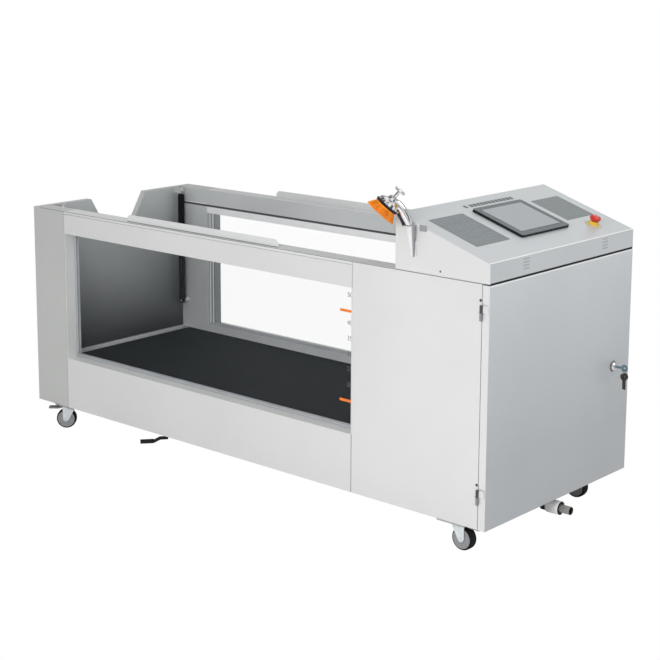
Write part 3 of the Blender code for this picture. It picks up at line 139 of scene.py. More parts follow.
# %% Studio
WORLD_LIGHT = 0.60
GLOSS_DARK, GLOSS_BRIGHT = 0.10, 1.0
SCREEN_EDGES = (0.46, 0.58)
SCREEN_SCALE = 2.6
LAMP_AIM = Vector((0.2, 0.0, 0.4))
PAPER = (0.90, 0.90, 0.90, 1)
FLOOR_SIZE = 24.0
LAMPS = (
    ("key_lamp", (1.5, -3.4, 1.9), 1.6, 64.0),
    ("console_lamp", (2.5, 0.8, 2.9), 1.4, 16.0),
)


def gloss_room(tree):
    """The brightness of the room in reflections: white, with broad upright grey screens."""
    place = tree.nodes.new("ShaderNodeTexCoord").outputs["Generated"]
    upright = tree.nodes.new("ShaderNodeMapping")
    upright.inputs["Scale"].default_value = (1.0, 1.0, 0.35)
    tree.links.new(place, upright.inputs["Vector"])
    screens = tree.nodes.new("ShaderNodeTexNoise")
    screens.inputs["Scale"].default_value = SCREEN_SCALE
    screens.inputs["Detail"].default_value = 1.0
    tree.links.new(upright.outputs["Vector"], screens.inputs["Vector"])
    levels = tree.nodes.new("ShaderNodeMapRange")
    levels.inputs["From Min"].default_value = SCREEN_EDGES[0]
    levels.inputs["From Max"].default_value = SCREEN_EDGES[1]
    levels.inputs["To Min"].default_value = GLOSS_DARK
    levels.inputs["To Max"].default_value = GLOSS_BRIGHT
    tree.links.new(screens.outputs["Fac"], levels.inputs["Value"])
    return levels.outputs["Result"]


def choose(tree, factor, off, on):
    """One value where the factor is 0 and another where it is 1. A value is a number or a node's output."""
    mix = tree.nodes.new("ShaderNodeMix")
    for socket, value in ((2, off), (3, on)):
        if isinstance(value, float):
            mix.inputs[socket].default_value = value
        else:
            tree.links.new(value, mix.inputs[socket])
    tree.links.new(factor, mix.inputs[0])
    return mix.outputs[0]


world = bpy.data.worlds.new("studio")
bpy.context.scene.world = world
world.use_nodes = True
room = world.node_tree
rays = room.nodes.new("ShaderNodeLightPath").outputs
level = choose(room, rays["Is Glossy Ray"], WORLD_LIGHT, gloss_room(room))
level = choose(room, rays["Is Transmission Ray"], level, 1.0)
level = choose(room, rays["Is Camera Ray"], level, 1.0)
room.nodes["Background"].inputs["Color"].default_value = (1, 1, 1, 1)
room.links.new(level, room.nodes["Background"].inputs["Strength"])

for name, place, size, power in LAMPS:
    lamp_data = bpy.data.lights.new(name, "AREA")
    lamp_data.shape = "DISK"
    lamp_data.size = size
    lamp_data.energy = power
    lamp = placed(name, lamp_data)
    lamp.location = place
    lamp.rotation_euler = (LAMP_AIM - Vector(place)).to_track_quat("-Z", "Y").to_euler()
    lamp.visible_camera = False
    lamp.visible_glossy = name != "key_lamp"

floor_mesh = bpy.data.meshes.new("floor")
half = FLOOR_SIZE / 2
corners = [(-half, -half, 0), (half, -half, 0), (half, half, 0), (-half, half, 0)]
floor_mesh.from_pydata(corners, [], [(0, 1, 2, 3)])
floor = placed("floor", floor_mesh)
floor_paint = bpy.data.materials.new("floor_paper")
floor_paint.use_nodes = True
floor_shader = floor_paint.node_tree.nodes["Principled BSDF"]
floor_shader.inputs["Base Color"].default_value = PAPER
floor_shader.inputs["Roughness"].default_value = 0.9
floor_mesh.materials.append(floor_paint)
floor.visible_camera = False
print("studio ready, camera at", [round(value, 2) for value in camera.location])

# %% [markdown]
# ## Finishes
# One function makes them all. A finish has a colour that drifts a little over hands' breadths, as rolled
# sheet and moulded plastic do, a grain that is stretched along one direction for brushed metal, and a
# roughness that follows the same drift. The grain is a bump, so it moves with the light and paints no shade.
# Photographs of real sheet could be wrapped round the pieces instead, but noise needs no unwrapping and has
# no seams.

# %% Finish maker
GRAIN_SHARE = 0.35
DRIFT_SPAN = (0.45, 0.90)
FADE_FROM = BOTTOM + 0.25 * (TOP - BOTTOM)
UPRIGHT = (90, 90, 4)


def finish(
    name, colour, roughness, metallic=0.0, drift=0.05, drift_scale=3.0, grain=60, bump=0.05,
    bump_depth=0.0004, rough_drift=0.08, coat=0.0, alpha=1.0, gloss=0.5, fade=0.0,
):
    """A Principled material whose colour, roughness and bump come from noise on Object coordinates. The grain
    is one number, or three where it is stretched. A fade paints light and shade into the colour: lighter by
    that share at the body's top, and darker by it in the lowest quarter."""
    material = bpy.data.materials.new(name)
    material.use_nodes = True
    nodes, links = material.node_tree.nodes, material.node_tree.links
    shader = nodes["Principled BSDF"]
    plain = {"Metallic": metallic, "Coat Weight": coat, "Alpha": alpha, "Specular IOR Level": gloss}
    for socket, value in plain.items():
        shader.inputs[socket].default_value = value
    place = nodes.new("ShaderNodeTexCoord").outputs["Object"]

    wide = nodes.new("ShaderNodeTexNoise")
    wide.inputs["Scale"].default_value = drift_scale
    wide.inputs["Detail"].default_value = 3
    links.new(place, wide.inputs["Vector"])

    stretch = nodes.new("ShaderNodeMapping")
    stretch.inputs["Scale"].default_value = grain if isinstance(grain, tuple) else (grain, grain, grain)
    links.new(place, stretch.inputs["Vector"])
    fine = nodes.new("ShaderNodeTexNoise")
    fine.inputs["Scale"].default_value = 5.0
    fine.inputs["Detail"].default_value = 4
    links.new(stretch.outputs["Vector"], fine.inputs["Vector"])

    blend = nodes.new("ShaderNodeMath")
    blend.operation = "MULTIPLY_ADD"
    blend.inputs[1].default_value = GRAIN_SHARE
    links.new(fine.outputs["Fac"], blend.inputs[0])
    links.new(wide.outputs["Fac"], blend.inputs[2])
    ramp = nodes.new("ShaderNodeValToRGB")
    for stop, position, change in zip(ramp.color_ramp.elements, DRIFT_SPAN, (1 - drift, 1 + drift)):
        stop.position = position
        stop.color = (*[min(1.0, channel * change) for channel in colour], 1)
    links.new(blend.outputs[0], ramp.inputs["Fac"])
    links.new(ramp.outputs["Color"], shader.inputs["Base Color"])
    if fade:
        height = nodes.new("ShaderNodeSeparateXYZ")
        links.new(place, height.inputs["Vector"])
        light = nodes.new("ShaderNodeMapRange")
        light.inputs["From Min"].default_value = FADE_FROM
        light.inputs["From Max"].default_value = TOP
        light.inputs["To Min"].default_value = 1 - fade
        light.inputs["To Max"].default_value = 1 + fade
        links.new(height.outputs["Z"], light.inputs["Value"])
        scaled = nodes.new("ShaderNodeVectorMath")
        scaled.operation = "SCALE"
        links.new(ramp.outputs["Color"], scaled.inputs["Vector"])
        links.new(light.outputs["Result"], scaled.inputs["Scale"])
        links.new(scaled.outputs["Vector"], shader.inputs["Base Color"])

    rough = nodes.new("ShaderNodeMapRange")
    rough.inputs["To Min"].default_value = max(0.0, roughness - rough_drift)
    rough.inputs["To Max"].default_value = min(1.0, roughness + rough_drift)
    links.new(wide.outputs["Fac"], rough.inputs["Value"])
    links.new(rough.outputs["Result"], shader.inputs["Roughness"])

    relief = nodes.new("ShaderNodeBump")
    relief.inputs["Strength"].default_value = bump
    relief.inputs["Distance"].default_value = bump_depth
    links.new(fine.outputs["Fac"], relief.inputs["Height"])
    links.new(relief.outputs["Normal"], shader.inputs["Normal"])
    return material


# %% [markdown]
# The tank's sheets are satin stainless, brushed upright on the walls and across the slope on the console,
# whose slope and fascia are a darker steel as painted shade. The service door and the posts are a shade
# darker; on the door that is painted shade, with a painted gradient lighter at its top and darker at its
# foot.
# The liner inside the tank is a cooler grey. The ramp door's inner side mirrors the black belt at its foot,
# so its colour is a dark painted reflection that fades to darker there. Satin sheet could be fully metallic,
# but in a white room a quarter of metal under a pale colour looks nearer to it.

# %% Sheet metal
WALL_STEEL = finish("wall_steel", (0.71, 0.715, 0.71), 0.42, 0.25, 0.035, 2.2, UPRIGHT, 0.06)
POST_STEEL = finish("post_steel", (0.56, 0.57, 0.56), 0.42, 0.25, 0.035, 2.2, UPRIGHT, 0.06)
DOOR_STEEL_PAINTED_SHADE = finish("door_steel_painted_shade", (0.585, 0.615, 0.635), 0.40, 0.25, 0.04, 1.8, UPRIGHT, 0.06, fade=0.17)
INSIDE_PAINTED_REFLECTION = finish("inside_painted_reflection", (0.28, 0.295, 0.30), 0.38, 0.25, 0.05, 2.2, UPRIGHT, 0.06, fade=0.85)
CONSOLE_STEEL_PAINTED_SHADE = finish("console_steel_painted_shade", (0.63, 0.66, 0.675), 0.42, 0.25, 0.03, 2.5, (6, 120, 6), 0.06)
RAIL_STEEL = finish("rail_steel", (0.74, 0.745, 0.75), 0.40, 0.25, 0.03, 3.0, (5, 110, 110), 0.06)
LINER_STEEL = finish("liner_steel", (0.67, 0.69, 0.70), 0.38, 0.25, 0.06, 2.6, (60, 60, 6), 0.06)
BRUSHED_STEEL = finish("brushed_steel_finish", (0.60, 0.60, 0.61), 0.30, 0.95, 0.05, 6.0, (8, 160, 160), 0.08)
ZINC = finish("zinc_plate", (0.72, 0.76, 0.78), 0.36, 0.3, 0.14, 60.0, 70, 0.10)
PEDAL_GREY = finish("pedal_grey", (0.20, 0.20, 0.205), 0.45, 0.2, 0.14, 60.0, 70, 0.10)
GALVANISED = finish("galvanised_tube", (0.50, 0.51, 0.52), 0.46, 0.8, 0.16, 22.0, 40, 0.12)
CHROME = finish("chrome_plate", (0.78, 0.78, 0.80), 0.10, 1.0, 0.03, 12.0, 50, 0.02, rough_drift=0.04)
BRASS = finish("brass_body", (0.62, 0.44, 0.20), 0.34, 0.95, 0.12, 30.0, 60, 0.12)

# %% [markdown]
# Rubber, plastic and glass. The belt is a charcoal mat with a fine cast, the gaskets are smoother, and the
# moulded plastics have the faint pebble of a spark-eroded mould. The window glass could bend light, but a
# thin pane hardly does, so it is nearly clear and only gains a sheen where it is seen at a glancing angle.

# %% Rubber, plastic and glass
BELT_RUBBER = finish(
    "belt_rubber_finish", (0.007, 0.009, 0.011), 0.70, 0, 0.25, 9.0, 300, 0.35, 0.0006, gloss=0.12,
)
GASKET_RUBBER = finish("gasket_rubber", (0.42, 0.44, 0.46), 0.50, 0, 0.08, 12.0, 200, 0.15)
BLACK_PLASTIC = finish(
    "black_moulding", (0.014, 0.014, 0.016), 0.45, 0, 0.2, 20.0, 260, 0.20, 0.0003, gloss=0.30,
)
STRUT_BLACK = finish(
    "strut_black", (0.006, 0.006, 0.007), 0.45, 0, 0.2, 20.0, (260, 260, 60), 0.10, gloss=0.15,
)
# The next four draw lines: a nearly black painted shade for gaps, a lap's own dark grey, a soft dark line for
# seams and painted shadows under the rails, and a pale painted highlight for folds and edges.
PAINTED_SHADE_DARK = finish("painted_shade_dark", (0.030, 0.031, 0.033), 0.8, 0, 0.1, 20.0, 80, 0.05, gloss=0.1)
LAP_GREY = finish("lap_grey", (0.085, 0.088, 0.092), 0.7, 0, 0.1, 20.0, 80, 0.05, gloss=0.2)
SEAM_AND_PAINTED_SHADOW = finish("seam_and_painted_shadow", (0.20, 0.205, 0.21), 0.7, 0, 0.1, 20.0, 80, 0.05, gloss=0.2)
PAINTED_HIGHLIGHT = finish("painted_highlight", (0.90, 0.91, 0.92), 0.35, 0, 0.03, 20.0, 80, 0.03)
TRIM_GREY = finish("trim_grey", (0.36, 0.39, 0.41), 0.40, 0, 0.05, 20.0, 80, 0.05)
CUP_STEEL = finish("cup_steel", (0.76, 0.765, 0.77), 0.35, 0.25, 0.05, 6.0, (160, 160, 8), 0.06)
CUP_SHADE = finish("cup_shade", (0.33, 0.335, 0.34), 0.35, 0.25, 0.05, 6.0, (160, 160, 8), 0.06)
GRIP_RUBBER = finish("grip_rubber", (0.020, 0.020, 0.021), 0.66, 0, 0.2, 30.0, 320, 0.35, 0.0004)
BEZEL_PLASTIC = finish("bezel_moulding", (0.125, 0.143, 0.152), 0.40, 0, 0.10, 12.0, 240, 0.16)
# The bezel's sides are painted nearly black as shade.
BEZEL_SIDE_SHADE = finish("bezel_side_painted_shade", (0.012, 0.014, 0.016), 0.45, 0, 0.10, 12.0, 240, 0.10, gloss=0.2)
PLACARD_FILM = finish("placard_film", (0.185, 0.210, 0.220), 0.36, 0, 0.05, 8.0, 200, 0.10)
PLACARD_INK = finish("placard_ink", (0.27, 0.30, 0.31), 0.40, 0, 0.05, 8.0, 200, 0.05)
HEADING_INK = finish("heading_ink", (0.13, 0.14, 0.148), 0.40, 0, 0.10, 60.0, 200, 0.05)
SCREEN_GLASS = finish("screen_glass", (0.375, 0.40, 0.42), 0.30, 0, 0.04, 5.0, 40, 0.01, gloss=0.3)
RED_PLASTIC = finish("stop_red_finish", (0.62, 0.022, 0.016), 0.28, 0, 0.08, 40.0, 200, 0.08, coat=0.4)
YELLOW_PLASTIC = finish("stop_yellow_finish", (0.82, 0.52, 0.05), 0.40, 0, 0.06, 40.0, 200, 0.12)
ORANGE_BRISTLE = finish("orange_bristle", (1.0, 0.31, 0.022), 0.46, 0, 0.14, 60.0, 90, 0.05)
ORANGE_TAPE = finish("orange_tape", (0.85, 0.20, 0.02), 0.45, 0, 0.08, 30.0, 120, 0.08)
SCALE_INK = finish("scale_ink", (0.10, 0.11, 0.13), 0.5, 0, 0.1, 30.0, 120, 0.05)
WHITE_PLASTIC = finish("white_moulding", (0.97, 0.97, 0.96), 0.40, 0, 0.05, 14.0, 220, 0.12)
WHEEL_PLASTIC = finish("wheel_centre", (0.27, 0.28, 0.29), 0.45, 0, 0.08, 30.0, 200, 0.15)
TYRE_RUBBER = finish("tyre_rubber", (0.012, 0.012, 0.013), 0.70, 0, 0.25, 30.0, 260, 0.30, 0.0005, gloss=0.15)
PUMP_ENAMEL = finish("pump_enamel", (0.045, 0.12, 0.30), 0.38, 0, 0.08, 16.0, 120, 0.15)
CABINET_GREY = finish("control_box_grey", (0.46, 0.48, 0.50), 0.48, 0, 0.05, 12.0, 220, 0.20)
CLEAR_GLASS = finish(
    "clear_glass", (0.30, 0.34, 0.36), 0.03, 0, 0.01, 3.0, 10, 0.0, rough_drift=0.01, alpha=0.03,
)
# The pipe's bore is painted nearly black as shade.
BORE_PAINTED_SHADE = finish("bore_painted_shade", (0.012, 0.012, 0.013), 0.8, 0, 0.2, 20.0, 80, 0.1)
FACING_ALPHA, GLANCING_ALPHA = 0.018, 0.5
glass_tree = CLEAR_GLASS.node_tree
glancing = glass_tree.nodes.new("ShaderNodeLayerWeight")
glancing.inputs["Blend"].default_value = 0.5
steep = glass_tree.nodes.new("ShaderNodeMath")
steep.operation = "POWER"
steep.inputs[1].default_value = 5.0
sheen = glass_tree.nodes.new("ShaderNodeMapRange")
sheen.inputs["To Min"].default_value = FACING_ALPHA
sheen.inputs["To Max"].default_value = GLANCING_ALPHA
glass_tree.links.new(glancing.outputs["Facing"], steep.inputs[0])
glass_tree.links.new(steep.outputs["Value"], sheen.inputs["Value"])
glass_tree.links.new(sheen.outputs["Result"], glass_tree.nodes["Principled BSDF"].inputs["Alpha"])
print("finishes:", len([material for material in bpy.data.materials if material.use_nodes]))

# %% [markdown]
# ## Softened working pieces
# Each piece of the frame comes in as loose triangles. A copy is merged, given a fine rounding on its sharp
# edges, as folded sheet and mouldings have, and takes a finish. It then stands for the piece it came from.
# The pieces could be shown as they are, but an edge with no radius catches no light and looks like paper.

# %% Softening
MERGE_DISTANCE = 0.00001
FLAT_ANGLE = math.radians(0.5)
SHARP_ANGLE = math.radians(28)
SMOOTH_ANGLE = math.radians(32)


def add_piece(name, mesh, node, material):
    """Puts a mesh into the scene as a piece that moves with the node's body, with the given material."""
    piece = placed(name, mesh)
    mesh.materials.clear()
    mesh.materials.append(material)
    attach(piece, BODY_OF[node])
    print(name + ":", len(mesh.polygons), "faces")
    return piece


def welded(node):
    """The node's mesh, merged and with its flat faces joined, so that only its real edges are left."""
    build = bmesh.new()
    build.from_mesh(NODES[node].data)
    bmesh.ops.remove_doubles(build, verts=build.verts, dist=MERGE_DISTANCE)
    bmesh.ops.dissolve_limit(
        build, angle_limit=FLAT_ANGLE, verts=build.verts, edges=build.edges, delimit={"NORMAL"}
    )
    mesh = bpy.data.meshes.new(node + "_soft")
    build.to_mesh(mesh)
    build.free()
    return mesh


def baked(item):
    """The object's mesh with its modifiers applied. The object itself is taken away."""
    depsgraph = bpy.context.evaluated_depsgraph_get()
    mesh = bpy.data.meshes.new_from_object(item.evaluated_get(depsgraph))
    bpy.data.objects.remove(item, do_unlink=True)
    return mesh


def rounded_mesh(mesh, width, segments):
    """The mesh with every sharp edge rounded, and shaded smooth."""
    source = placed("rounding", mesh)
    if width:
        bevel = source.modifiers.new("round", "BEVEL")
        bevel.width = width
        bevel.segments = segments
        bevel.limit_method = "ANGLE"
        bevel.angle_limit = SHARP_ANGLE
        bevel.use_clamp_overlap = True
        bevel.harden_normals = True
    for face in mesh.polygons:
        face.use_smooth = True
    done = baked(source)
    done.set_sharp_from_angle(angle=SMOOTH_ANGLE)
    return done


def soften(node, material, width=0.0008, segments=2, flat_over=0.0009):
    """A rounded copy of a working piece that stands for it in the picture. Its large faces are quite flat."""
    mesh = rounded_mesh(welded(node), width, segments)
    for face in mesh.polygons:
        if face.area > flat_over:
            face.use_smooth = False
    piece = add_piece(node + "_soft", mesh, node, material)
    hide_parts(node)


# %% [markdown]
# The tank's shell first. The long folds of the sheet are rounded by about a millimetre, which catches the
# light along every edge. The window panes stay nearly sharp. Front and rear are pairs, so a loop makes both.

# %% Shell
SHEET_PAIRS = (
    ("wall_panel", WALL_STEEL, 0.0014, 3),
    ("corner_post", POST_STEEL, 0.0016, 3),
    ("top_rail", RAIL_STEEL, 0.0012, 3),
    ("splash_lip", RAIL_STEEL, 0.0010, 2),
    ("cabinet_panel", WALL_STEEL, 0.0014, 3),
)
for name, material, width, segments in SHEET_PAIRS:
    for side in ("front", "rear"):
        soften(side + "_" + name, material, width, segments)
soften("end_sill_panel", WALL_STEEL, 0.0010)
soften("ramp_door", POST_STEEL, 0.0010)
soften("tank_tub", LINER_STEEL)
soften("console_housing", CONSOLE_STEEL_PAINTED_SHADE, 0.0016, 3)
soften("service_door", DOOR_STEEL_PAINTED_SHADE, 0.0014, 3)
for name, material, width in (("gasket", GASKET_RUBBER, 0.0010), ("glass", CLEAR_GLASS, 0.0004)):
    for side in ("front", "rear"):
        soften(side + "_" + name, material, width)

# %% [markdown]
# Then the walking belt, its frame and rollers, the struts of the ramp door, and what the tank stands on. The
# belt and the rollers are round, and their long faces would show as facets if they were shaded flat, so
# they are smooth all over.

# %% Belt, struts and base
NEVER_FLAT = 1.0
soften("belt_frame", BRUSHED_STEEL)
soften("walking_belt", BELT_RUBBER, flat_over=NEVER_FLAT)
soften("idler_roller", BRUSHED_STEEL, flat_over=NEVER_FLAT)
soften("drive_roller", BRUSHED_STEEL, flat_over=NEVER_FLAT)
for side in ("front", "rear"):
    soften(side + "_strut_tube", STRUT_BLACK, 0.0006)
    soften(side + "_strut_rod", CHROME, 0.0004)
soften("base_frame", GALVANISED, 0.0012)
CORNERS = ("front_left", "front_right", "rear_left", "rear_right")
for corner in CORNERS:
    soften(corner + "_caster_fork", ZINC)
for corner in CORNERS[:2]:
    soften(corner + "_caster_brake_pedal", PEDAL_GREY, 0.0010)

# %% [markdown]
# The console and its controls, the shower on its cup, the door's hinges and lock, and the machine room. The
# bristle pad keeps its sharp edges, because strands will cover it.

# %% Controls, shower and machine room
soften("display_bezel", BEZEL_PLASTIC, 0.0014, 3)
soften("display_screen", SCREEN_GLASS, 0.0004)
soften("stop_collar", YELLOW_PLASTIC)
soften("stop_button", RED_PLASTIC, 0.0016, 3)
soften("shower_cup", CUP_STEEL, 0.0006)
soften("shower_handle", CHROME, 0.0006)
soften("handle_grip", GRIP_RUBBER)
soften("head_ring", BLACK_PLASTIC, 0.0010)
soften("brush_bristles", ORANGE_BRISTLE, 0)
soften("flow_knob", CHROME)
soften("upper_hinge", BLACK_PLASTIC, 0.0006)
soften("lower_hinge", BLACK_PLASTIC, 0.0006)
soften("lock_body", CHROME, 0.0005)
soften("lock_key", BRUSHED_STEEL, 0.0003)
soften("drain_valve_body", BRASS)
soften("drain_lever", BLACK_PLASTIC)
soften("drain_outlet", WHITE_PLASTIC)
soften("water_pump", PUMP_ENAMEL, 0.0010, flat_over=NEVER_FLAT)
soften("filter_housing", WHITE_PLASTIC, flat_over=NEVER_FLAT)
soften("control_box", CABINET_GREY, 0.0012)

# %% [markdown]
# ## Small things
# Five helpers make the rest. The first paints chosen faces of a piece in a second finish, and the second
# makes a frame from two directions. The third turns a profile about an axis, and the fourth makes a box. The
# last repeats one small shape at many spots with Geometry Nodes, each with its own turn and size, and bakes
# the result into one mesh, which for many strands is faster than a loop.

# %% Helpers for small things
FACING, HALF_FACING = 0.9, 0.5


def tint(piece, material, chosen):
    """Gives another material to every face whose middle and outward direction pass the test."""
    piece.data.materials.append(material)
    index = len(piece.data.materials) - 1
    for face in piece.data.polygons:
        if chosen(face.center, face.normal):
            face.material_index = index


def framed(origin, along, side):
    """A matrix whose Z runs along one direction and whose X is as near as can be to the other."""
    z = Vector(along).normalized()
    x = (Vector(side) - Vector(side).project(z)).normalized()
    matrix = Matrix((x, z.cross(x), z)).transposed().to_4x4()
    matrix.translation = Vector(origin)
    return matrix


def turned_mesh(name, profile, matrix, sides=48):
    """A profile of (radius, height) turned about the matrix's Z axis. On the axis one corner is enough."""
    build = bmesh.new()
    angles = [math.tau * step / sides for step in range(sides)]
    rings = []
    for radius, height in profile:
        ring = []
        for angle in angles if radius else angles[:1]:
            place = Vector((radius * math.cos(angle), radius * math.sin(angle), height))
            ring.append(build.verts.new(matrix @ place))
        rings.append(ring)
    for lower, upper in zip(rings, rings[1:]):
        for step in range(sides):
            after = (step + 1) % sides
            if len(lower) == 1:
                build.faces.new((lower[0], upper[step], upper[after]))
            elif len(upper) == 1:
                build.faces.new((lower[step], lower[after], upper[0]))
            else:
                build.faces.new((lower[step], lower[after], upper[after], upper[step]))
    bmesh.ops.recalc_face_normals(build, faces=build.faces)
    mesh = bpy.data.meshes.new(name)
    build.to_mesh(mesh)
    build.free()
    for face in mesh.polygons:
        face.use_smooth = True
    mesh.set_sharp_from_angle(angle=SMOOTH_ANGLE)
    return mesh


def box_mesh(name, size, bevel=0.0):
    """A box about the origin, with rounded edges if a bevel is given."""
    build = bmesh.new()
    bmesh.ops.create_cube(build, size=1.0)
    bmesh.ops.scale(build, vec=size, verts=build.verts)
    if bevel:
        bmesh.ops.bevel(build, geom=build.edges, offset=bevel, segments=2, affect="EDGES", profile=0.5)
    mesh = bpy.data.meshes.new(name)
    build.to_mesh(mesh)
    build.free()
    return mesh


def repeated(name, shape, spots, material, node):
    """One small shape at many spots, as one piece. A spot is (place, turn as Euler angles, size)."""
    seeds = bpy.data.meshes.new(name + "_spots")
    seeds.from_pydata([tuple(place) for place, _, _ in spots], [], [])
    for label, column in (("turn", 1), ("size", 2)):
        values = seeds.attributes.new(label, "FLOAT_VECTOR", "POINT")
        values.data.foreach_set("vector", [number for spot in spots for number in spot[column]])
    holder, pattern = placed(name + "_spots", seeds), placed(name + "_pattern", shape)

    tree = bpy.data.node_groups.new(name, "GeometryNodeTree")
    tree.interface.new_socket("Geometry", in_out="INPUT", socket_type="NodeSocketGeometry")
    tree.interface.new_socket("Geometry", in_out="OUTPUT", socket_type="NodeSocketGeometry")
    start, end = tree.nodes.new("NodeGroupInput"), tree.nodes.new("NodeGroupOutput")
    copies = tree.nodes.new("GeometryNodeInstanceOnPoints")
    source = tree.nodes.new("GeometryNodeObjectInfo")
    source.inputs["Object"].default_value = pattern
    turn, size = (tree.nodes.new("GeometryNodeInputNamedAttribute") for _ in range(2))
    for reader, label in ((turn, "turn"), (size, "size")):
        reader.data_type = "FLOAT_VECTOR"
        reader.inputs["Name"].default_value = label
    spin = tree.nodes.new("FunctionNodeEulerToRotation")
    real = tree.nodes.new("GeometryNodeRealizeInstances")
    coat = tree.nodes.new("GeometryNodeSetMaterial")
    coat.inputs["Material"].default_value = material
    tree.links.new(start.outputs[0], copies.inputs["Points"])
    tree.links.new(source.outputs["Geometry"], copies.inputs["Instance"])
    tree.links.new(turn.outputs["Attribute"], spin.inputs[0])
    tree.links.new(spin.outputs[0], copies.inputs["Rotation"])
    tree.links.new(size.outputs["Attribute"], copies.inputs["Scale"])
    tree.links.new(copies.outputs["Instances"], real.inputs["Geometry"])
    tree.links.new(real.outputs["Geometry"], coat.inputs["Geometry"])
    tree.links.new(coat.outputs["Geometry"], end.inputs[0])
    holder.modifiers.new("repeat", "NODES").node_group = tree

    done = baked(holder)
    done.name = name
    bpy.data.objects.remove(pattern, do_unlink=True)
    piece = placed(name, done)
    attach(piece, BODY_OF[node])
    print(name + ":", len(spots), "copies,", len(done.polygons), "faces")


# %% [markdown]
# The console slopes down to the machine end. Its own frame has X down the slope, Y across to the rear and Z
# out of the sheet, with the origin at the front of the low edge, so a thing's place is read off like a
# measurement on the panel. Working in world axes would need a sine and a cosine for every piece.

# %% Console frame
JOINTS = {joint["name"]: joint for joint in frame["record"]["behaviour"]["joints"]}
FASCIA_HEIGHT = 0.065
SLOPE_ANGLE = math.atan2(high("console_housing").z - TOP - FASCIA_HEIGHT, RIGHT - BULKHEAD)
NORMAL = Vector((math.sin(SLOPE_ANGLE), 0, math.cos(SLOPE_ANGLE)))
DOWN = Vector((math.cos(SLOPE_ANGLE), 0, -math.sin(SLOPE_ANGLE)))
SLOPE = framed((RIGHT, FRONT, TOP + FASCIA_HEIGHT), NORMAL, DOWN)
SLOPE_TURN = tuple(SLOPE.to_euler())
TO_SLOPE = SLOPE.inverted()
FILM, FILM_GAP = 0.0004, 0.0002
PRINT, PRINT_LIFT = 0.0002, 0.0004
print("slope:", round(math.degrees(SLOPE_ANGLE), 2), "degrees")


def film_on_slope(name, up, across, material):
    """A film on the slope, between two distances up from the low edge and two across."""
    mesh = box_mesh(name, (up[1] - up[0], across[1] - across[0], FILM))
    centre = Vector((-(up[0] + up[1]) / 2, (across[0] + across[1]) / 2, FILM / 2 + FILM_GAP))
    mesh.transform(SLOPE @ Matrix.Translation(centre))
    add_piece(name, mesh, "console_housing", material)


# %% [markdown]
# Two instruction placards flank the display, and a narrow strip runs above it. They carry rows of plain
# bars the length of words, so they read as printed from a step away and say nothing. An image could be laid
# on the film instead, but bars need no file and stay crisp from close by.

# %% Placards
rng = random.Random(7)
PLACARDS = (
    ("front_placard", (0.106, 0.310), (0.067, 0.250), 19),
    ("rear_placard", (0.139, 0.300), (0.637, 0.801), 15),
)
WORDS = (0.006, 0.024)
WORD_HEIGHT, WORD_GAP, SHORTEST_WORD = 0.0042, 0.0035, 0.003
ROW_SHORTFALLS = (0.0, 0.0, 0.02, 0.05, 0.09)
ROWS_TO_BLANK = 5
MARGIN = 0.010


def word_rows(up, across, rows):
    """Spots for bars in rows across the slope, broken into words, each row ending at its own length."""
    spots = []
    pitch = (up[1] - up[0] - 2 * MARGIN) / rows
    for row in range(rows):
        from_low = up[1] - MARGIN - (row + 0.5) * pitch
        place = across[0] + MARGIN
        end = across[1] - MARGIN - rng.choice(ROW_SHORTFALLS)
        if row % ROWS_TO_BLANK == ROWS_TO_BLANK - 1:
            continue
        while place < end:
            length = min(rng.uniform(*WORDS), end - place)
            spot = SLOPE @ Vector((-from_low, place + length / 2, FILM + PRINT_LIFT))
            if length > SHORTEST_WORD:
                spots.append((spot, SLOPE_TURN, (WORD_HEIGHT, length, 1.0)))
            place += length + WORD_GAP
    return spots


bars = []
for name, up, across, rows in PLACARDS:
    film_on_slope(name, up, across, PLACARD_FILM)
    bars += word_rows(up, across, rows)
repeated("placard_print", box_mesh("word_bar", (1, 1, PRINT)), bars, PLACARD_INK, "console_housing")

STRIP_UP, STRIP_FROM, STRIP_HEIGHT = 0.345, 0.306, 0.018
STRIP_BARS = ((0.014, 0.016),) + ((0.0165, 0.0045),) * 12
heading = []
place = STRIP_FROM
for length, gap in STRIP_BARS:
    spot = SLOPE @ Vector((-STRIP_UP, place + length / 2, PRINT_LIFT))
    heading.append((spot, SLOPE_TURN, (STRIP_HEIGHT, length, 1.0)))
    place += length + gap
repeated("heading_strip", box_mesh("heading_bar", (1, 1, PRINT)), heading, HEADING_INK, "console_housing")

# %% [markdown]
# The stop button's collar is yellow, and the flat ring round its foot is a faint legend plate. The machine
# end's fascia has two stacks of short slots. They could be cut through the sheet, but at this size a thin
# grey bar, painted as the shade inside a slot, looks the same and leaves the sheet whole. The console's
# cheeks are painted in the wall's lighter steel, so its slope and fascia stay darker as painted shade.

# %% Console fittings
LEGEND_FILM = finish("legend_film", (0.66, 0.60, 0.36), 0.45, 0, 0.06, 40.0, 200, 0.08)
SLOT_SHADE = finish("slot_shade", (0.46, 0.48, 0.50), 0.6, 0, 0.08, 40.0, 200, 0.05)
LEGEND_LIFT = 0.0022
collar = bpy.data.objects["stop_collar_soft"]
tint(collar, LEGEND_FILM, lambda at, out: (TO_SLOPE @ at).z < LEGEND_LIFT)

SLOT_SIZE = (0.0006, 0.034, 0.0055)
SLOT_STACKS, SLOTS_IN_STACK = (0.195, 0.665), 4
SLOT_FOOT, SLOT_STEP = 0.024, 0.0105
slots = []
for across in SLOT_STACKS:
    for step in range(SLOTS_IN_STACK):
        slots.append(((RIGHT, FRONT + across, TOP + SLOT_FOOT + SLOT_STEP * step), (0, 0, 0), SLOT_SIZE))
repeated("fascia_slots", box_mesh("slot", (1, 1, 1)), slots, SLOT_SHADE, "console_housing")
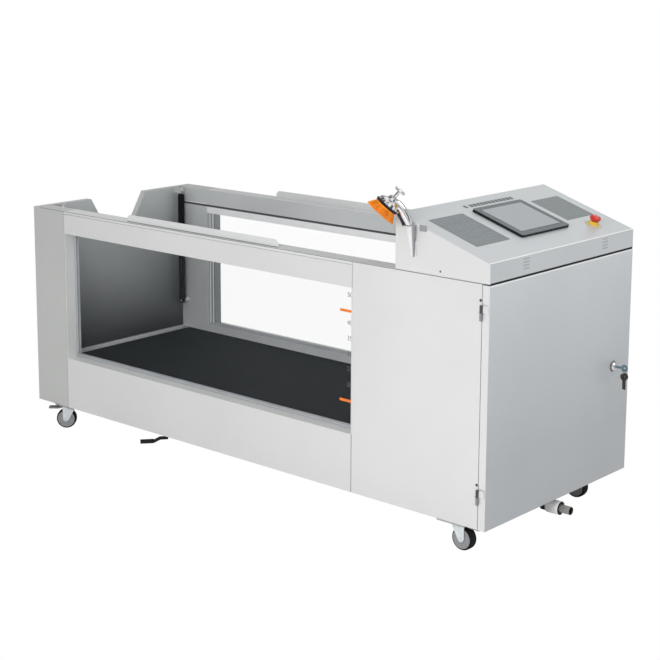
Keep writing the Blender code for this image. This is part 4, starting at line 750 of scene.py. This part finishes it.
# The cheeks take the lighter wall steel; the slope and fascia keep the darker steel as painted shade.
console = bpy.data.objects["console_housing_soft"]
tint(console, WALL_STEEL, lambda at, out: abs(out.y) > FACING)

# %% [markdown]
# Pan-head screws hold the console down, one in each cheek. Their drive slots are too fine to see from the
# camera, so a head is a turned profile and nothing more.

# %% Screws
SCREW_HEAD = ((0.0, 0.0016), (0.0014, 0.0016), (0.0026, 0.0012), (0.0034, 0.0004), (0.0034, -0.0002))
SCREW_SHADE = finish("screw_shade", (0.16, 0.16, 0.17), 0.4, 0.4, 0.1, 40.0, 200, 0.05)


def screws(name, spots, node, material, size):
    """Pan-head screws. A spot is (place, direction out of the sheet)."""
    shape = turned_mesh("screw", SCREW_HEAD, Matrix.Identity(4), 16)
    heads = []
    for place, out in spots:
        turn = Vector(out).to_track_quat("Z", "Y").to_euler()
        heads.append((place, tuple(turn), (size, size, size)))
    repeated(name, shape, heads, material, node)


SCREW_X, SCREW_Z = 0.904, TOP + 0.016
cheek_screws = [((SCREW_X, FRONT, SCREW_Z), (0, -1, 0)), ((SCREW_X, REAR, SCREW_Z), (0, 1, 0))]
screws("console_screws", cheek_screws, "console_housing", SCREW_SHADE, 1.1)

# %% [markdown]
# The display's bezel has nearly black sides under its grey top, painted shade on the faces that do not face
# up, and a pale cover, a little larger than the screen, lies over it. The screen's own mesh could be
# stretched, but a film of its own keeps the working piece at its size.

# %% Display
COVER_SIZE = (0.170, 0.228, 0.0004)
COVER_LIFT = 0.0002
TOP_FACING = 0.55
bezel = bpy.data.objects["display_bezel_soft"]
tint(bezel, BEZEL_SIDE_SHADE, lambda at, out: out.dot(NORMAL) < TOP_FACING)
bezel_lift = max((TO_SLOPE @ corner.co).z for corner in bezel.data.vertices)
screen_corners = [TO_SLOPE @ corner.co for corner in bpy.data.objects["display_screen_soft"].data.vertices]
screen_middle = sum(screen_corners, Vector()) / len(screen_corners)
cover = box_mesh("screen_cover", COVER_SIZE)
cover.transform(SLOPE @ Matrix.Translation((screen_middle.x, screen_middle.y, bezel_lift + COVER_LIFT)))
add_piece("screen_cover", cover, "display_screen", SCREEN_GLASS)

# %% [markdown]
# The service door swings on two knuckle hinges in its front seam. Their leaves could be modelled again, but
# a second finish on the faces of wall, knuckle and barrel is enough. A screw shows at each.

# %% Door hinges
HINGE_DARK = finish("hinge_barrel", (0.075, 0.077, 0.08), 0.42, 0.3, 0.1, 40.0, (200, 200, 40), 0.1)
HINGE_GREY = finish("hinge_knuckle", (0.26, 0.27, 0.28), 0.42, 0.3, 0.1, 40.0, (200, 200, 40), 0.1)
HINGE_X = JOINTS["service_door_swing"]["pos_m"][0]
LEAF_EDGE = HINGE_X - 0.0045
BARREL_EDGE = HINGE_X + 0.0056
BARREL_PROUD = 0.0012
SCREW_INSET, SCREW_UP = 0.0060, 0.064
hinge_screws = []
for name in ("upper_hinge", "lower_hinge"):
    leaf = bpy.data.objects[name + "_soft"]
    leaf.data.materials[0] = HINGE_GREY
    tint(leaf, WALL_STEEL, lambda at, out: at.x < LEAF_EDGE)
    hinge_screws.append(((HINGE_X - SCREW_INSET, FRONT, low(name).z + SCREW_UP), (0, -1, 0)))
door = bpy.data.objects["service_door_soft"]
# The door's front faces are painted in the lighter wall steel, and its end face keeps the darker door steel
# as painted shade.
tint(door, WALL_STEEL, lambda at, out: out.y < -FACING)
tint(door, HINGE_DARK, lambda at, out: at.y < FRONT - BARREL_PROUD and at.x < BARREL_EDGE)
screws("hinge_screws", hinge_screws, "front_cabinet_panel", HINGE_DARK, 1.4)

# %% [markdown]
# The brush is a disc of fine bristles that spread from the ring to the pad's face. A spiral of equal steps
# spaces them evenly, and each leans a little off its own line. Blender's hair could do it, but the pad has
# to become a plain mesh, so every strand is a thin five-sided rod.

# %% Bristles
HEAD_PLACE, HEAD_AXIS = (0.7409, -0.4278, 1.118), (0.498378, 0.428680, 0.753563)
HEAD = framed(HEAD_PLACE, HEAD_AXIS, (0, 0, 1))
ROOT_RADIUS, TIP_RADIUS = 0.0355, 0.0522
ROOT_LIFT, TIP_LIFT = -0.0060, -0.0322
STRANDS, STRAND_SIDES = 1100, 5
LEAN, UNEVEN = 0.0012, (-0.0002, 0.0006)
GOLDEN_TURN = math.pi * (3 - math.sqrt(5))


def bristle_spots(count):
    """Spots for strands on a spiral, from the ring to the pad's face. The size's Z is the strand's length."""
    spots = []
    for index in range(count):
        share = math.sqrt((index + 0.5) / count)
        angle = index * GOLDEN_TURN
        out = Vector((math.cos(angle), math.sin(angle), 0))
        root = out * share * ROOT_RADIUS + Vector((0, 0, ROOT_LIFT))
        lean = Vector((rng.uniform(-1, 1), rng.uniform(-1, 1), 0)) * LEAN
        tip = out * share * TIP_RADIUS + lean + Vector((0, 0, TIP_LIFT + rng.uniform(*UNEVEN)))
        way = HEAD.to_3x3() @ (tip - root)
        turn = way.to_track_quat("Z", "Y").to_euler()
        spots.append((HEAD @ root, tuple(turn), (1.0, 1.0, (tip - root).length)))
    return spots


STRAND = ((0.0, 0.0), (0.00085, 0.0), (0.00080, 0.6), (0.00060, 0.97), (0.0, 1.0))
strand = turned_mesh("strand", STRAND, Matrix.Identity(4), STRAND_SIDES)
spots = bristle_spots(STRANDS)
repeated("bristle_strands_bright", strand, spots[0::2], ORANGE_BRISTLE, "brush_bristles")
DEEP_ORANGE = finish("deep_orange", (1.0, 0.27, 0.012), 0.5, 0, 0.15, 60.0, (400, 400, 60), 0.1)
repeated("bristle_strands_deep", strand, spots[1::2], DEEP_ORANGE, "brush_bristles")

# %% [markdown]
# A brass plug closes a hole in the shower's neck. It is turned from a profile like the screws, with its foot
# sunk in the neck.

# %% Brass plug
PLUG = ((0.0, 0.0036), (0.0052, 0.0036), (0.0070, 0.0026), (0.0078, 0.0008), (0.0078, -0.006), (0.0, -0.006))
PLUG_PLACE, PLUG_AXIS = (0.7712, -0.4199, 1.1185), (0.47, -0.88, -0.07)
plug_frame = framed(PLUG_PLACE, PLUG_AXIS, (0, 0, 1))
add_piece("neck_plug", turned_mesh("neck_plug", PLUG, plug_frame, 24), "shower_handle", BRASS)

# %% [markdown]
# The wheels are turned again, with a dark tyre round a mid grey centre that is dished between hub and rim.
# One profile gives the whole shape, and the tyre needs only a second finish beyond its inner radius.

# %% Wheels
WHEEL = (
    (0.0066, -0.0165), (0.0125, -0.0165), (0.0140, -0.0152), (0.0255, -0.0150), (0.0275, -0.0163),
    (0.0335, -0.0164), (0.0362, -0.0162), (0.0380, -0.0146), (0.0392, -0.0122), (0.0398, -0.0080),
    (0.0400, 0.0), (0.0398, 0.0080), (0.0392, 0.0122), (0.0380, 0.0146), (0.0362, 0.0162),
    (0.0335, 0.0164), (0.0275, 0.0163), (0.0255, 0.0150), (0.0140, 0.0152), (0.0125, 0.0165),
    (0.0066, 0.0165), (0.0066, -0.0165),
)
TYRE_FROM = 0.0318
for corner in CORNERS:
    roll = JOINTS[corner + "_roll"]
    hub = framed(roll["pos_m"], roll["axis"], (0, 0, 1))
    node = corner + "_caster_wheel"
    wheel = add_piece(node + "_turned", turned_mesh(node, WHEEL, hub), node, WHEEL_PLASTIC)
    to_hub = hub.inverted()
    tint(wheel, TYRE_RUBBER, lambda at, out: math.hypot((to_hub @ at).x, (to_hub @ at).y) > TYRE_FROM)
    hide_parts(node)

# %% [markdown]
# The outlet is three things in a row: a dark clamp, a white union and a metal pipe whose bore and end are
# painted nearly black as shade. The piece has the steps between them already, so its faces are told apart by
# where they stand on the pipe.

# %% Outlet
outlet = bpy.data.objects["drain_outlet_soft"]
UNION_START = RIGHT - 0.056
OUTLET_Y, OUTLET_Z = FRONT + 0.450, 0.056
PIPE_OUTER, PIPE_INNER = 0.0150, 0.0114
PIPE_END = RIGHT + 0.0345


def off_outlet(at):
    """A point's distance from the outlet's middle line."""
    return math.hypot(at.y - OUTLET_Y, at.z - OUTLET_Z)


PIPE_STEEL = finish("pipe_steel", (0.42, 0.42, 0.40), 0.32, 1, 0.15, 30.0, (40, 600, 600), 0.1)
tint(outlet, BLACK_PLASTIC, lambda at, out: at.x < UNION_START)
tint(outlet, PIPE_STEEL, lambda at, out: at.x > UNION_START and off_outlet(at) < PIPE_OUTER)
tint(outlet, BORE_PAINTED_SHADE, lambda at, out: off_outlet(at) < PIPE_INNER or at.x > PIPE_END)

# %% [markdown]
# A water-level scale runs up the front window's right edge: two orange bars, small numbers between them and
# short ticks at the edge. The numbers are centimetres above the belt. They are written with Blender's own
# text curves, which become flat meshes, and it all lies on the glass as printed film does.

# %% Water-level scale
SCALE_FACE = low("front_glass").y - 0.0003
SCALE_EDGE = high("front_glass").x - 0.004
INK = 0.0003
BAR_LENGTH, BAR_WIDTH = 0.084, 0.0095
BAR_HEIGHTS = (0.714, 0.400)
bars = []
for height in BAR_HEIGHTS:
    bars.append(((SCALE_EDGE - BAR_LENGTH / 2, SCALE_FACE, height), (0, 0, 0), (BAR_LENGTH, 1.0, BAR_WIDTH)))
repeated("scale_bars", box_mesh("scale_bar", (1, INK, 1)), bars, ORANGE_TAPE, "front_glass")

TICK_FROM, TICK_STEP, TICKS = 0.440, 0.01075, 34
LONG_TICK, SHORT_TICK, TICK_WIDTH = 0.016, 0.009, 0.0012
ticks = []
for step in range(TICKS):
    length = SHORT_TICK if step % 5 else LONG_TICK
    height = TICK_FROM + step * TICK_STEP
    ticks.append(((SCALE_EDGE - length / 2, SCALE_FACE, height), (0, 0, 0), (length, 1.0, TICK_WIDTH)))
repeated("scale_ticks", box_mesh("scale_tick", (1, INK, 1)), ticks, SCALE_INK, "front_glass")

NUMBERS = (("20", 0.457), ("25", 0.512), ("30", 0.564), ("35", 0.619), ("40", 0.673), ("50", 0.770))
NUMBER_HEIGHT, NUMBER_INSET = 0.017, 0.040
DIGIT_SHARE = 0.72
number_mesh = bmesh.new()
for label, height in NUMBERS:
    curve = bpy.data.curves.new("number", "FONT")
    curve.body = label
    curve.size = NUMBER_HEIGHT / DIGIT_SHARE
    curve.align_x = "CENTER"
    curve.align_y = "CENTER"
    flat = baked(placed("number", curve))
    stand = Matrix.Translation((SCALE_EDGE - NUMBER_INSET, SCALE_FACE, height))
    flat.transform(stand @ Matrix.Rotation(math.radians(90), 4, "X"))
    number_mesh.from_mesh(flat)
numbers = bpy.data.meshes.new("scale_numbers")
number_mesh.to_mesh(numbers)
number_mesh.free()
add_piece("scale_numbers", numbers, "front_glass", SCALE_INK)

# %% [markdown]
# The joints between the panels show as thin dark lines, and painted shadow lines run along the top edges and
# at the splash lip's foot. The folds catch the light as painted highlights. Each is a strip laid on its face,
# a few millimetres wide. Grooves could be cut instead, but they need many small faces and look the same from
# here.

# %% Seams and folds
LINE_LIFT = 0.0003


def lines(name, runs, material, node):
    """Flat strips on faces, as one piece. A run is (start, end, width, the face's direction)."""
    joined = bmesh.new()
    for start, end, width, out in runs:
        start, end, out = Vector(start), Vector(end), Vector(out)
        along = end - start
        strip = box_mesh(name, (width, LINE_LIFT, along.length))
        strip.transform(framed(start.lerp(end, 0.5) + out * LINE_LIFT / 2, along, out.cross(along)))
        joined.from_mesh(strip)
        bpy.data.meshes.remove(strip)
    mesh = bpy.data.meshes.new(name)
    joined.to_mesh(mesh)
    joined.free()
    add_piece(name, mesh, node, material)


OUT_FRONT, OUT_REAR, OUT_END = (0, -1, 0), (0, 1, 0), (1, 0, 0)
POST_SEAM, WALL_SEAM, DOOR_SEAM = low("front_wall_panel").x, high("front_wall_panel").x, HINGE_X - 0.0015
RAIL_START = POST_SEAM - 0.15
EDGE_SHADOW_LINE, LIP_SHADOW_LINE = TOP - 0.0012, TOP + 0.0014
FOOT_LINE, SEAM_TOP = BOTTOM + 0.001, TOP - 0.002
SILL, WINDOW_HEAD = 0.305, 0.810
EDGE_WIDTH, LIP_WIDTH, SILL_WIDTH, POST_WIDTH, HEAD_WIDTH = 0.0020, 0.0022, 0.0022, 0.0018, 0.0016
WALLS = (("front", FRONT, OUT_FRONT), ("rear", REAR, OUT_REAR))
edges, lip_shadows, sills, posts, heads = [], [], [], [], []
for side, wall, out in WALLS:
    lip_from, lip_to = low(side + "_splash_lip"), high(side + "_splash_lip")
    lip_face = lip_from.y if side == "front" else lip_to.y
    edges.append(((RAIL_START, wall, EDGE_SHADOW_LINE), (DOOR_SEAM, wall, EDGE_SHADOW_LINE), EDGE_WIDTH, out))
    lip_shadows.append(((lip_from.x, lip_face, LIP_SHADOW_LINE), (lip_to.x, lip_face, LIP_SHADOW_LINE), LIP_WIDTH, out))
    sills.append(((WALL_SEAM, wall, FOOT_LINE), (WALL_SEAM, wall, SILL), SILL_WIDTH, out))
    posts.append(((POST_SEAM, wall, FOOT_LINE), (POST_SEAM, wall, SEAM_TOP), POST_WIDTH, out))
    heads.append(((WALL_SEAM, wall, WINDOW_HEAD), (WALL_SEAM, wall, SEAM_TOP), HEAD_WIDTH, out))
# The edge and lip lines are painted shadow under the rails; the sill lines are the seams between wall and
# cabinet panel.
lines("top_edge_lines", edges + lip_shadows + sills, SEAM_AND_PAINTED_SHADOW, "front_cabinet_panel")
lines("panel_seams", posts + heads, TRIM_GREY, "front_cabinet_panel")

# %% [markdown]
# The machine end has a strip of painted shade in the gap over the service door, a painted shadow line at the
# fascia's foot, and painted highlights along the folds of the console's low edge and the door's top.

# %% Machine end
GAP_SHADE_SIZE = (0.0034, REAR - FRONT - 0.004, 0.0036)
GAP_SHADE_PLACE = (RIGHT - 0.0024, MID_Y, TOP - 0.0016)
gap_shade = box_mesh("door_seal", GAP_SHADE_SIZE)
gap_shade.transform(Matrix.Translation(GAP_SHADE_PLACE))
add_piece("door_seal", gap_shade, "console_housing", PAINTED_SHADE_DARK)

FOLD_INSET, FOOT_INSET = 0.003, 0.002
fold_near = SLOPE @ Vector((-0.0024, FOLD_INSET, 0))
fold_far = SLOPE @ Vector((-0.0024, REAR - FRONT - FOLD_INSET, 0))
lines("console_fold", [(fold_near, fold_far, 0.0055, NORMAL)], PAINTED_HIGHLIGHT, "console_housing")
for name, height, inset, width, material, node in (
    ("console_foot", TOP + 0.0018, FOOT_INSET, 0.0028, PAINTED_SHADE_DARK, "console_housing"),
    ("door_fold", high("service_door").z - 0.0030, FOLD_INSET, 0.0040, PAINTED_HIGHLIGHT, "service_door"),
):
    start, end = (RIGHT, FRONT + inset, height), (RIGHT, REAR - inset, height)
    lines(name, [(start, end, width, OUT_END)], material, node)

# %% [markdown]
# Inside, the liner is lapped over the rail just above the windows: a dark lap with a painted highlight along
# the edge over it, and a pale strip of painted highlight that covers the top of the window's seal. The rear
# window's frame is seen from inside, so strips draw it down the glass: painted highlights, grey faces and a
# painted shadow line. The top and left faces of the rear seal are painted as highlight too. The ramp door's
# inner side takes the painted reflection of the belt, which fades to dark at its foot.

# %% Liner laps
WINDOW_FROM = POST_SEAM + 0.003
LINER_SHEET, LINER_INSET = 0.003, 0.004
LAP_Z, LIGHT_Z, TRIM_Z = WINDOW_HEAD + 0.0212, WINDOW_HEAD + 0.0276, WINDOW_HEAD + 0.0025
LAP_WIDTH, LIGHT_WIDTH, TRIM_WIDTH = 0.0085, 0.0035, 0.0270
LINER_FROM, LINER_TO = low("tank_tub").x + LINER_INSET, high("tank_tub").x - LINER_INSET
laps, lights, trim_highlights = [], [], []
for face, out in ((high("tank_tub").y - LINER_SHEET, OUT_FRONT), (low("tank_tub").y + LINER_SHEET, OUT_REAR)):
    laps.append(((LINER_FROM, face, LAP_Z), (LINER_TO, face, LAP_Z), LAP_WIDTH, out))
    lights.append(((LINER_FROM, face, LIGHT_Z), (WINDOW_FROM, face, LIGHT_Z), LIGHT_WIDTH, out))
    trim_highlights.append(((WINDOW_FROM, face, TRIM_Z), (WALL_SEAM, face, TRIM_Z), TRIM_WIDTH, out))
lines("liner_laps", laps, LAP_GREY, "tank_tub")
lines("liner_lights", lights, PAINTED_HIGHLIGHT, "tank_tub")
lines("liner_trims", trim_highlights, PAINTED_HIGHLIGHT, "tank_tub")

WINDOW_STRIPS = (
    ("rear_glass_lip", 0.0010, 0.0075, PAINTED_HIGHLIGHT),
    ("rear_glass_trim", 0.0080, 0.0195, TRIM_GREY),
    ("rear_glass_edge", 0.0200, 0.0268, PAINTED_HIGHLIGHT),
    ("rear_glass_line", 0.0273, 0.0308, PAINTED_SHADE_DARK),
    ("rear_glass_frame", 0.0313, 0.0675, TRIM_GREY),
)
STRIP_END = 0.006
glass_edge = low("rear_glass").x
glass_face = low("rear_glass").y
for name, first, last, material in WINDOW_STRIPS:
    across = glass_edge + (first + last) / 2
    foot, head = (across, glass_face, SILL + STRIP_END), (across, glass_face, WINDOW_HEAD - STRIP_END)
    lines(name, [(foot, head, last - first, OUT_FRONT)], material, "rear_glass")

SEAL_TOP, SEAL_SIDE = WINDOW_HEAD - 0.012, glass_edge + 0.01
rear_seal = bpy.data.objects["rear_gasket_soft"]
tint(rear_seal, PAINTED_HIGHLIGHT, lambda at, out: at.z > SEAL_TOP or at.x < SEAL_SIDE)
tint(bpy.data.objects["ramp_door_soft"], INSIDE_PAINTED_REFLECTION, lambda at, out: out.x > HALF_FACING)

# %% [markdown]
# The cup is lit on its left and dark on its right, and a small dark tab stands beside its rim. The lamps
# alone leave the cup too even, so the faces that look to the machine end have painted shade, and the tab is
# drawn in the same painted shade.

# %% Cup
CUP_TURN, CUP_FREE = 0.78, 0.002
TAB_SIZE, TAB_EDGE = (0.028, 0.0030, 0.020), 0.0012
TAB_PLACE = (0.834, FRONT - 0.0016, 1.0460)
cup = bpy.data.objects["shower_cup_soft"]
tint(cup, CUP_SHADE, lambda at, out: out.x > CUP_TURN and at.y < FRONT - CUP_FREE)
shade_tab = box_mesh("cup_ear", TAB_SIZE, TAB_EDGE)
shade_tab.transform(Matrix.Translation(TAB_PLACE))
add_piece("cup_ear", shade_tab, "console_housing", CUP_SHADE)

# %% [markdown]
# The lock's rose is a dark turned ring round the cylinder. What hangs from the key is dark, and its bow has
# a blue cast where it stands out furthest. Tinted faces of the one mesh are enough for so small a thing.

# %% Lock
ROSE = ((0.0148, 0.0), (0.0190, 0.0), (0.0190, 0.0014), (0.0176, 0.0030), (0.0154, 0.0026), (0.0148, 0.0))
KEY_OUT, KEY_HANG = 0.020, 0.018
lock_middle = Vector(JOINTS["lock_turn"]["pos_m"])
lock_face = framed((RIGHT, lock_middle.y, lock_middle.z), (1, 0, 0), (0, 1, 0))
ROSE_SHADE = finish("rose_shade", (0.20, 0.20, 0.21), 0.25, 0.8, 0.3, 60.0, (20, 300, 300), 0.05)
add_piece("lock_rose", turned_mesh("lock_rose", ROSE, lock_face, 40), "lock_body", ROSE_SHADE)
key = bpy.data.objects["lock_key_soft"]
KEY_DARK = finish("key_dark", (0.060, 0.050, 0.040), 0.35, 0.5, 0.3, 60.0, 100, 0.05)
KEY_BLUE = finish("key_blue", (0.16, 0.24, 0.28), 0.35, 0.3, 0.3, 60.0, 100, 0.05)
tint(key, KEY_BLUE, lambda at, out: at.x > RIGHT + KEY_OUT)
tint(key, KEY_DARK, lambda at, out: at.z < lock_middle.z - KEY_HANG)
